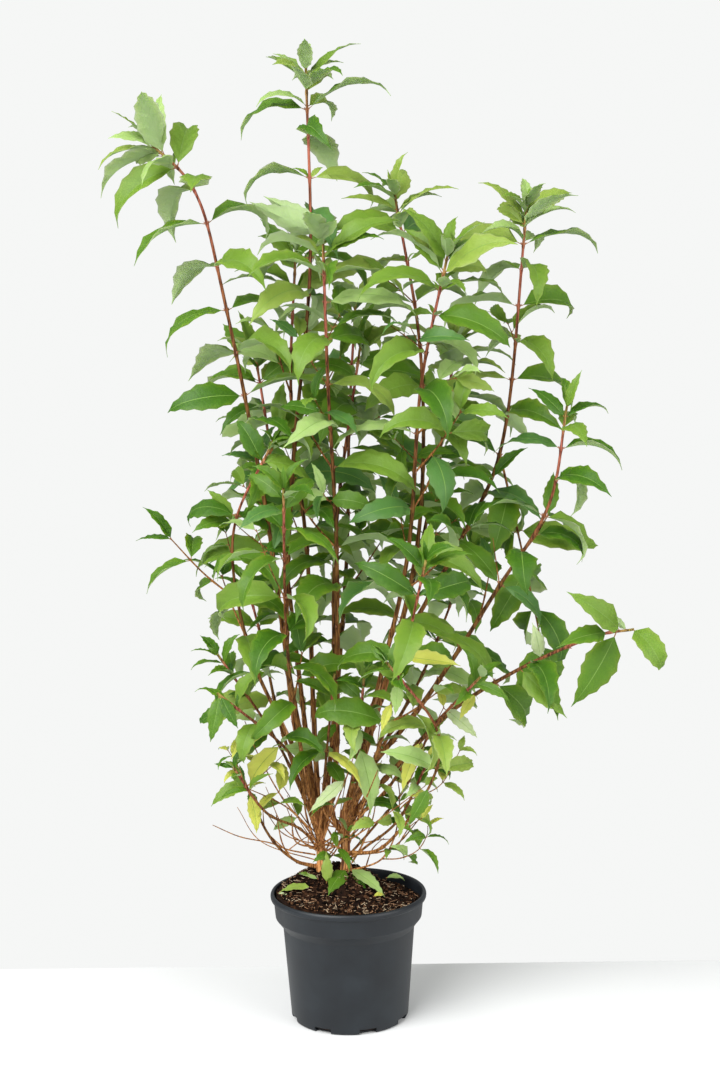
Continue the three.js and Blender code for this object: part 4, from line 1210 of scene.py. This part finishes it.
class PLANT_OT_crumbs(bpy.types.Operator):
    """Strews crumbs of peat, bits of bark and pale fibres over the soil"""

    bl_idname = "plant.crumbs"
    bl_label = "Crumbs and Fibres"

    def execute(self, context):
        settings = context.scene.plant_soil
        rng = np.random.default_rng(SEEDS["crumbs"])
        bm = bmesh.new()
        bmesh.ops.create_icosphere(bm, subdivisions=1, radius=1)
        ball = taken(bm)
        crumbs = Joined()
        for _ in range(settings.crumbs):
            x, y = self.strewn(rng)
            least, more = CRUMB.size
            size = least + more * rng.random() ** 3
            turn = np.array(noise_turn(rng))
            points = ball.points * (size * rng.uniform(*CRUMB.squash, 3))
            points *= rng.uniform(*CRUMB.lumps, (len(points), 1))
            place = np.array([x, y, soil_height(x, y) + rng.uniform(*CRUMB.above)])
            crumbs.put(ball, points @ turn + place, int(rng.choice(len(CRUMB.shares), p=CRUMB.shares)))
        bit = rolled(4, 4)
        share = bit.points[:, 2] - 0.5
        for _ in range(settings.fibres):
            x, y = self.strewn(rng)
            least, more = FIBRE.length
            length, radius = least + more * rng.random() ** 2, rng.uniform(*FIBRE.radius)
            heading, bow = rng.random() * 2 * math.pi, rng.uniform(*FIBRE.bow)
            along = np.array([math.cos(heading), math.sin(heading), rng.uniform(*FIBRE.rise)])
            aside = np.array([-math.sin(heading), math.cos(heading), 0])
            sideways = bow * length * share**2 + bit.points[:, 0] * radius * FIBRE.flat
            points = np.outer(share * length, along) + np.outer(sideways, aside)
            points += np.outer(bit.points[:, 1] * radius, UP)
            place = np.array([x, y, soil_height(x, y) + rng.uniform(*FIBRE.above)])
            crumbs.put(bit, points + place, len(CRUMB.shares) + int(rng.random() < FIBRE.straw))
        finishes = plain_finishes(0.95, {
            "Wet peat crumbs": "#0C0603", "Peat crumbs": "#20120A", "Dry peat crumbs": "#48301F",
            "Bark chips": "#6E4E38", "Coir fibre": "#8A6A50", "Straw bits": "#AE9A80",
        }, Specular_IOR_Level=0.1)
        placed(crumbs.piece("soil_crumbs", finishes), "soil")
        return {"FINISHED"}

    @staticmethod
    def strewn(rng, inside=4):
        """A place by chance on the soil, as evenly over it as over a disc."""
        away = (POT.collar - POT.wall - inside) * math.sqrt(rng.random())
        bearing = rng.random() * 2 * math.pi
        return away * math.cos(bearing), away * math.sin(bearing)


def noise_turn(rng):
    """A turn by chance, as a matrix."""
    axis = Vector(rng.normal(size=3)).normalized()
    return Matrix.Rotation(rng.random() * 2 * math.pi, 3, axis)


def tube_points(stem, settings):
    """The vertices of a stem's tube, with its swollen joints and its relief, and their youth."""
    length = stem.path.length
    rings = max(3, round(length / stem.spacing))
    template = rolled(stem.sides, rings)
    ring = np.round(template.points[:, 2] * rings).astype(int)
    far = np.linspace(0, length, rings + 1)
    swollen = sum((np.exp(-(((far - d) / JOINT_REACH) ** 2)) for d in stem.joints), np.zeros(rings + 1))
    radius = stem.radius_at(far) * (1 + settings.swelling * swollen)
    right, back = across(stem.path.heading(far))
    centre = stem.path.at(far)
    cos, sin = template.points[:, :1], template.points[:, 1:2]
    round_by, along = RIDGES
    bumps = np.array([
        noise.noise(Vector((c * round_by, s * round_by, d * along + centre[0][0])))
        for c, s, d in zip(cos[:, 0], sin[:, 0], far[ring])
    ])
    reach = (radius[ring] * (1 + stem.relief * 2 * bumps))[:, None]
    points = centre[ring] + (right[ring] * cos + back[ring] * sin) * reach
    return template, points, mix(*stem.young, far[ring] / length)


def bark_finish():
    """Bark by age: flaking orange-brown at the foot, red-brown above it, pink-red on the new growth."""
    material, tree, shader = finish("Deutzia bark", "#8F5A38", 0.72, Specular_IOR_Level=0.2)
    age = add(tree, "ShaderNodeAttribute", attribute_name="youth").outputs["Fac"]
    place = add(tree, "ShaderNodeTexCoord").outputs["Object"]
    drawn = add(tree, "ShaderNodeVectorMath", {0: place, 1: (1, 1, 0.09)}, operation="MULTIPLY")
    streaks = add(tree, "ShaderNodeTexNoise", {
        "Vector": drawn.outputs["Vector"], "Scale": 1 / (1.8 * MM), "Detail": 6.0,
    })
    aged = ramp(tree, age, [
        (0, "#D8A06A"), (0.25, "#94683A"), (0.6, "#6E4E26"), (0.8, "#865438"), (0.93, "#A86258"),
        (1, "#94904C"),
    ])
    streaked = ramp(
        tree, streaks.outputs["Fac"], [(0.35, "#3C220E"), (0.46, "#B0946E"), (0.56, "#FFF8E8")]
    )
    both = add(
        tree, "ShaderNodeMix", {"Factor": 0.9, "A": aged, "B": streaked}, data_type="RGBA",
        blend_type="MULTIPLY",
    )
    tree.links.new(both.outputs["Result"], shader.inputs["Base Color"])
    bump = add(
        tree, "ShaderNodeBump", {"Height": streaks.outputs["Fac"], "Strength": 0.6, "Distance": 0.5 * MM}
    )
    tree.links.new(bump.outputs["Normal"], shader.inputs["Normal"])
    return material


class PLANT_OT_stems(bpy.types.Operator):
    """Grows the stools, canes and twigs as tubes with swollen joints and ribbed bark"""

    bl_idname = "plant.stems"
    bl_label = "Stems"

    def execute(self, context):
        settings = context.scene.plant_stems
        wood = Joined()
        for stem in stems():
            template, points, youth = tube_points(stem, settings)
            wood.put(template, points, 0, youth)
        piece = wood.piece("stems", [bark_finish()])
        canes = ["cane_" + row["name"] for row in CANES]
        placed(piece, "bark", "stool_left", "stool_right", *canes)
        return {"FINISHED"}


class PLANT_OT_strips(bpy.types.Operator):
    """Hangs peeling strips of bark on the old wood"""

    bl_idname = "plant.strips"
    bl_label = "Peeling Bark"

    def execute(self, context):
        settings = context.scene.plant_stems
        rng = np.random.default_rng(SEEDS["strips"])
        grown = plant()
        share_of, most = STRIP.reach
        old = [(s, s.path.length) for s in grown.shanks for _ in range(STRIP.rounds)]
        old += [(c, min(c.path.length * share_of, most)) for c in grown.canes[: STRIP.canes]]
        flake = rolled(4, 6)
        share = flake.points[:, 2]
        strips = Joined()
        for n in range(settings.strips):
            stem, reach = old[n % len(old)]
            start, length = rng.uniform(STRIP.first, reach * STRIP.last), rng.uniform(*STRIP.length)
            length = min(length, reach - start)
            far = start + share * length
            right, back = across(stem.path.heading(far))
            bearing = rng.random() * 2 * math.pi + rng.uniform(*STRIP.winds) * share
            out = right * np.cos(bearing)[:, None] + back * np.sin(bearing)[:, None]
            aside = back * np.cos(bearing)[:, None] - right * np.sin(bearing)[:, None]
            lift = rng.uniform(*STRIP.lift) * (share if rng.random() < STRIP.from_top else 1 - share) ** 3
            least, more = STRIP.taper
            width = rng.uniform(*STRIP.width) * np.sin(math.pi * (least + more * share))
            wider, off = STRIP.off
            away = stem.radius_at(far) * wider + off + lift + flake.points[:, 1] * STRIP.thick
            points = stem.path.at(far) + out * away[:, None] + aside * (flake.points[:, 0] * width)[:, None]
            strips.put(flake, points, int(rng.choice(len(STRIP.shares), p=STRIP.shares)))
        finishes = plain_finishes(0.85, {
            "Orange-brown bark strip": "#A5683C", "Pale inner bark": "#BF8A5A", "Dark bark strip": "#6F452C",
        })
        placed(strips.piece("bark_strips", finishes), "bark")
        return {"FINISHED"}


class PLANT_OT_buds(bpy.types.Operator):
    """Sets a pair of pointed buds at every joint of the canes"""

    bl_idname = "plant.buds"
    bl_label = "Buds"

    def execute(self, context):
        grown = plant()
        bm = bmesh.new()
        bmesh.ops.create_cone(bm, cap_ends=True, segments=BUD.corners, radius1=1, radius2=BUD.point, depth=1)
        cone = taken(bm)
        buds = Joined()
        for cane in grown.canes:
            joints = [(d, cane.turn + GROWTH.quarter * n) for n, d in enumerate(cane.bare_joints)]
            joints += [(site.along, site.bearing) for site in cane.sites[:-3]]
            for distance, bearing in joints:
                heading, place = cane.path.heading(distance), cane.path.at(distance + 1)
                size = BUD.size * (1 - BUD.by_stem + BUD.by_stem * cane.stout)
                for half in (0, 180):
                    out = outward(heading, math.radians(bearing + half))
                    along = unit(heading + out * BUD.leans)
                    side = unit(np.cross(along, heading))
                    top = np.cross(side, along)
                    root = place + out * cane.radius_at(distance)
                    shape = (cone.points + [0, 0, BUD.sits]) * [size, size, BUD.long * size]
                    buds.put(cone, root + shape @ np.array([side, top, along]))
        placed(buds.piece("buds", plain_finishes(0.6, {"Bud scales": "#96604A"})), "bark")
        return {"FINISHED"}


@cache
def leaf_template():
    """A closed leaf in (along, across, above), with a kind for each face: blade, rib, petiole, underside.

    Each face starts at its corner by the rib, so that both sides of the blade are split alike.
    """
    columns = [-1, -0.5, -MIDRIB, MIDRIB, 0.5, 1, 0.5, 0, -0.5]
    rows = [0, *np.linspace(PETIOLE, 1, BLADE.rows)]
    bm = bmesh.new()
    bmesh.ops.create_grid(bm, x_segments=len(columns), y_segments=len(rows) - 1, size=0.5)
    for v in bm.verts:
        column = round((v.co.x + 0.5) * len(columns)) % len(columns)
        row = round((v.co.y + 0.5) * (len(rows) - 1))
        above = 0 if column in (0, 5) else 1 if column < 5 else -1
        v.co = rows[row] * 10, columns[column], above
    bmesh.ops.remove_doubles(bm, verts=bm.verts, dist=0.0001)
    bmesh.ops.holes_fill(bm, edges=[e for e in bm.edges if e.is_boundary], sides=0)
    bmesh.ops.recalc_face_normals(bm, faces=bm.faces)
    kinds = []
    for face in bm.faces:
        middle = face.calc_center_median()
        across_by = abs(middle.y)
        kinds.append(
            2 if middle.x / 10 < PETIOLE else 3 if middle.z < 0 or min(v.co.z for v in face.verts) < 0
            else 1 if across_by < MIDRIB else 0
        )
    rows_of = np.array([int(np.argmin([abs(v.co.x / 10 - r) for r in rows])) for v in bm.verts])
    template = taken(bm, (0.1, 1, 1))
    template.kinds, template.rows = np.array(kinds), rows_of
    along, across_by, _ = template.points.T
    for last, size in zip(np.cumsum(template.sizes), template.sizes):
        ring = template.corners[last - size : last]
        ring[:] = np.roll(ring, -np.argmin(along[ring] * 10 + np.abs(across_by[ring])))
    return template


def leaf_points(leaves, template, settings, rng):
    """The vertices of many leaves at once: nodding ribs, folded toothed blades, quilted between veins."""
    count, steps = len(leaves), BLADE.steps
    names = "root", "direction", "up", "length", "arch"
    root, direction, up, length, arch = (np.array([getattr(leaf, k) for leaf in leaves]) for k in names)
    length, arch = length[:, None], arch[:, None]
    side = np.cross(direction, up)
    own = SimpleNamespace(**{k: rng.uniform(*span, (count, 1)) for k, span in BLADE_CHANCE.items()})

    def bend(share):
        curled = np.clip((share - BLADE.curls_from) / (1 - BLADE.curls_from), 0, 1) ** 2
        return arch * share**LEAF.nod + own.curl * curled, own.sweep * share

    nod, aside = bend((np.arange(steps) + 0.5)[None] / steps)
    gone = [np.cos(nod) * np.cos(aside), -np.sin(nod) * np.cos(aside), np.sin(aside)]
    gone = [np.concatenate([np.zeros((count, 1)), np.cumsum(g, 1)], 1) * length / steps for g in gone]

    s, t, h = template.points.T
    lean = BLADE.lean * np.abs(t) * smooth((s - PETIOLE) / BLADE.leans_from) * (1 - s)
    share = s + lean
    low = np.minimum((share * steps).astype(int), steps - 1)
    part = share * steps - low
    along, above, beside = (g[:, low] * (1 - part) + g[:, low + 1] * part for g in gone)
    rib_at = root[:, None] + sum(
        g[..., None] * axis[:, None] for g, axis in ((along, direction), (above, up), (beside, side))
    )
    nod, aside = bend(share[None])
    onward = (
        (np.cos(nod) * np.cos(aside))[..., None] * direction[:, None]
        - (np.sin(nod) * np.cos(aside))[..., None] * up[:, None]
        + np.sin(aside)[..., None] * side[:, None]
    )
    face = np.cos(nod)[..., None] * up[:, None] + np.sin(nod)[..., None] * direction[:, None]
    beside = unit(np.cross(onward, face))
    face = np.cross(beside, onward)
    turn = (own.twist * share**BLADE.twist_power)[..., None]
    beside, face = beside * np.cos(turn) + face * np.sin(turn), face * np.cos(turn) - beside * np.sin(turn)

    blade_share = np.clip((share - PETIOLE) / (1 - PETIOLE), 0, 1)
    to_widest, to_tip = BLADE.outline
    profile = blade_share**to_widest * (1 - blade_share) ** to_tip
    profile = profile / profile.max()
    alternate = np.where(template.rows % 2 == 0, 1, -1)
    size = length / BLADE.full
    half = length * own.width / 2 * profile
    half = half + size * settings.tooth / MM * alternate * (np.abs(t) == 1) * np.clip(profile * 3, 0, 1)
    half = np.maximum(half, mix(*BLADE.least_half, blade_share))
    filled = np.clip(profile * 2, 0, 1)
    ridge = settings.quilt / MM * size * alternate * (np.abs(t) == 0.5) * filled
    groove = -BLADE.groove * size * (np.abs(t) == MIDRIB) * (h > 0)
    keel = -BLADE.keel * size * (h < 0) * (t == 0) * (1 - blade_share) * filled
    thick = mix(BLADE.stalk, settings.thickness / 2 / MM, smooth((share - PETIOLE / 2) / (PETIOLE / 2)))
    rise = half * (np.abs(t) * np.sin(own.fold) - own.recurve * t**2)
    cycles = BLADE.waves * share + own.phase + BLADE.wave_lag * np.sign(t)
    rise = rise + own.wave * half * np.abs(t) * np.sin(2 * math.pi * cycles)
    rise = rise + ridge + groove + keel + h * thick
    return rib_at + beside * (t * half * np.cos(own.fold))[..., None] + face * rise[..., None]


def dealt(leaves):
    """A tint for each leaf: most keep their spray's, which goes by its height and age."""
    rng = np.random.default_rng(SEEDS["tints"])
    sprays, tints = {}, []

    def draw(leaf, young):
        height = leaf.root[2]
        weights = LOW if height < LIME_BELOW else UPPER if height > UPPER_ABOVE else MATURE
        if leaf.young > young and height > UPPER_ABOVE:
            weights = TOP
        return str(rng.choice(list(weights), p=list(weights.values())))

    for leaf in leaves:
        if leaf.spray not in sprays:
            sprays[leaf.spray] = draw(leaf, SPRAY_YOUTH)
        tint = draw(leaf, LEAF_YOUTH) if rng.random() > KEEPS_SPRAY_TINT else sprays[leaf.spray]
        tints.append(leaf.tint or tint)
    return tints


@cache
def leaf_finishes():
    """Felted leaves: soft highlights on plain greens that let a little light through, paler underneath."""
    made = []
    for tint, (name, colour) in TINTS.items():
        material, tree, shader = finish(
            name, colour, 0.8 if tint in ("sage", "pale") else 0.5, Specular_IOR_Level=0.25,
            Subsurface_Weight=0.3, Subsurface_Scale=3 * MM, Subsurface_Radius=(0.75, 1, 0.35),
        )
        place = add(tree, "ShaderNodeTexCoord").outputs["Object"]
        felt = add(tree, "ShaderNodeTexNoise", {"Vector": place, "Scale": 1 / (5.5 * MM), "Detail": 5.0})
        bump = add(
            tree, "ShaderNodeBump", {"Height": felt.outputs["Fac"], "Strength": 0.6, "Distance": 1.2 * MM}
        )
        tree.links.new(bump.outputs["Normal"], shader.inputs["Normal"])
        made.append(material)
    return made


def put_leaves(joined, leaves, tints, settings, seed):
    """Adds leaves to a joined piece, each in its own tint with a rib, a petiole and a pale underside."""
    order = list(TINTS)
    template = leaf_template()
    points = leaf_points(leaves, template, settings, np.random.default_rng(seed))
    for place, tint in zip(points, tints):
        under = "pale" if tint in ("lime", "pale") else "sage"
        slots = np.array([order.index(k) for k in (tint, "rib", "petiole", under)])
        joined.put(template, place, slots[template.kinds])


class PLANT_OT_leaves(bpy.types.Operator):
    """Grows the leaves of every spray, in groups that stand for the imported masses"""

    bl_idname = "plant.leaves"
    bl_label = "Leaves"

    def execute(self, context):
        grown = plant()
        leaves = grown.leaves
        tints = dealt(leaves)
        groups = {"left": [], "right": [], "back": [], "low": []}
        for row in CANES:
            x, y, z = row["tip"]
            side = "low" if z < LOW_TIP else "back" if y > BACK_TIP else "left" if x < 0 else "right"
            groups[side].append(row["name"])
        for n, (side, canes) in enumerate(groups.items()):
            chosen = [i for i, leaf in enumerate(leaves) if leaf.cane in canes]
            foliage = Joined()
            put_leaves(
                foliage, [leaves[i] for i in chosen], [tints[i] for i in chosen],
                context.scene.plant_leaves, SEEDS["leaves"] + n,
            )
            piece = foliage.piece("leaves_" + side, leaf_finishes())
            placed(piece, "foliage", *("shoot_" + name for name in canes))
        return {"FINISHED"}


class PLANT_OT_litter(bpy.types.Operator):
    """Lays a few leaves on the soil"""

    bl_idname = "plant.litter"
    bl_label = "Leaves on the Soil"

    def execute(self, context):
        leaves = []
        face = np.array(LITTER_FACES)
        for root, way, length, arch, _ in LITTER:
            direction = unit(np.array(way, float))
            leaves.append(SimpleNamespace(
                root=np.array(root, float), direction=direction, length=length, arch=math.radians(arch),
                up=unit(face - direction * (direction @ face)),
            ))
        litter = Joined()
        tints = [row[-1] for row in LITTER]
        put_leaves(litter, leaves, tints, context.scene.plant_leaves, SEEDS["litter"])
        placed(litter.piece("litter", leaf_finishes()), "foliage")
        return {"FINISHED"}


class PLANT_OT_stage(bpy.types.Operator):
    """Sets the pale floor, the soft lights, the surround and the camera"""

    bl_idname = "plant.stage"
    bl_label = "Stage"

    def execute(self, context):
        settings = context.scene.plant_stage
        bm = bmesh.new()
        bmesh.ops.create_grid(bm, x_segments=1, y_segments=1, size=0.5)
        bmesh.ops.scale(bm, vec=(FLOOR.width, FLOOR.depth, 1), verts=bm.verts)
        bmesh.ops.translate(bm, vec=(0, FLOOR.back - FLOOR.depth / 2, 0), verts=bm.verts)
        floor = meshed("floor", bm, plain_finishes(0.8, {"White floor sheet": "#E0E1E1"}))
        for name, (place, size, share) in LIGHTS.items():
            self.light(name, place, size, settings.key_light * share)
        self.surround(context, settings)
        self.camera(context)
        context.scene.view_settings.view_transform = "Standard"
        return {"FINISHED"}

    @staticmethod
    def light(name, place, size, power):
        data = bpy.data.lights.new(name, "AREA")
        data.shape, data.size, data.energy = "DISK", size, power
        lamp = bpy.data.objects.new(name, data)
        bpy.context.scene.collection.objects.link(lamp)
        lamp.location = place
        toward = Vector(LIT) - lamp.location
        lamp.rotation_euler = toward.to_track_quat("-Z", "Y").to_euler()

    @staticmethod
    def surround(context, settings):
        world = bpy.data.worlds.new("Pale surround")
        context.scene.world = world
        world.use_nodes = True
        tree = world.node_tree
        seen = add(tree, "ShaderNodeLightPath").outputs["Is Camera Ray"]
        levels = {"To Min": settings.ambient, "To Max": settings.surround}
        strength = add(tree, "ShaderNodeMapRange", {"Value": seen, **levels})
        background = tree.nodes["Background"]
        background.inputs["Color"].default_value = linear("#F8F9F8")
        tree.links.new(strength.outputs["Result"], background.inputs["Strength"])

    @staticmethod
    def camera(context):
        data = bpy.data.cameras.new("camera")
        data.sensor_width, data.lens = CAMERA.sensor, CAMERA.lens
        camera = bpy.data.objects.new("camera", data)
        context.scene.collection.objects.link(camera)
        place = Matrix.Translation(Vector(CAMERA.place) * MM)
        pitch = Matrix.Rotation(math.radians(90 - CAMERA.down), 4, "X")
        roll = Matrix.Rotation(math.radians(CAMERA.roll), 4, "Z")
        camera.matrix_world = place @ pitch @ roll
        context.scene.camera = camera


class PLANT_PT_panel(bpy.types.Panel):
    """The plant's settings and the steps that build it"""

    bl_label = "Potted Deutzia"
    bl_space_type = "VIEW_3D"
    bl_region_type = "UI"
    bl_category = "Plant"

    def draw(self, context):
        layout = self.layout
        scene = context.scene
        for group in SETTINGS:
            settings = getattr(scene, group)
            for name in settings.__annotations__:
                layout.prop(settings, name)
        for step in STEPS:
            layout.operator(step.bl_idname)


SETTINGS = {
    "plant_pot": PlantPot, "plant_soil": PlantSoil, "plant_stems": PlantStems,
    "plant_leaves": PlantLeaves, "plant_stage": PlantStage,
}
STEPS = [
    PLANT_OT_pot, PLANT_OT_soil, PLANT_OT_crumbs, PLANT_OT_stems, PLANT_OT_strips, PLANT_OT_buds,
    PLANT_OT_leaves, PLANT_OT_litter, PLANT_OT_stage,
]
CLASSES = [*SETTINGS.values(), *STEPS, PLANT_PT_panel]


def register():
    for each in CLASSES:
        bpy.utils.register_class(each)
    for name, group in SETTINGS.items():
        setattr(bpy.types.Scene, name, bpy.props.PointerProperty(type=group))


def unregister():
    for name in SETTINGS:
        delattr(bpy.types.Scene, name)
    for each in reversed(CLASSES):
        bpy.utils.unregister_class(each)


def main():
    register()
    bpy.ops.plant.pot()
    bpy.ops.plant.soil()
    bpy.ops.plant.crumbs()
    bpy.ops.plant.stems()
    bpy.ops.plant.strips()
    bpy.ops.plant.buds()
    bpy.ops.plant.leaves()
    bpy.ops.plant.litter()
    bpy.ops.plant.stage()


if __name__ == "__main__":
    main()
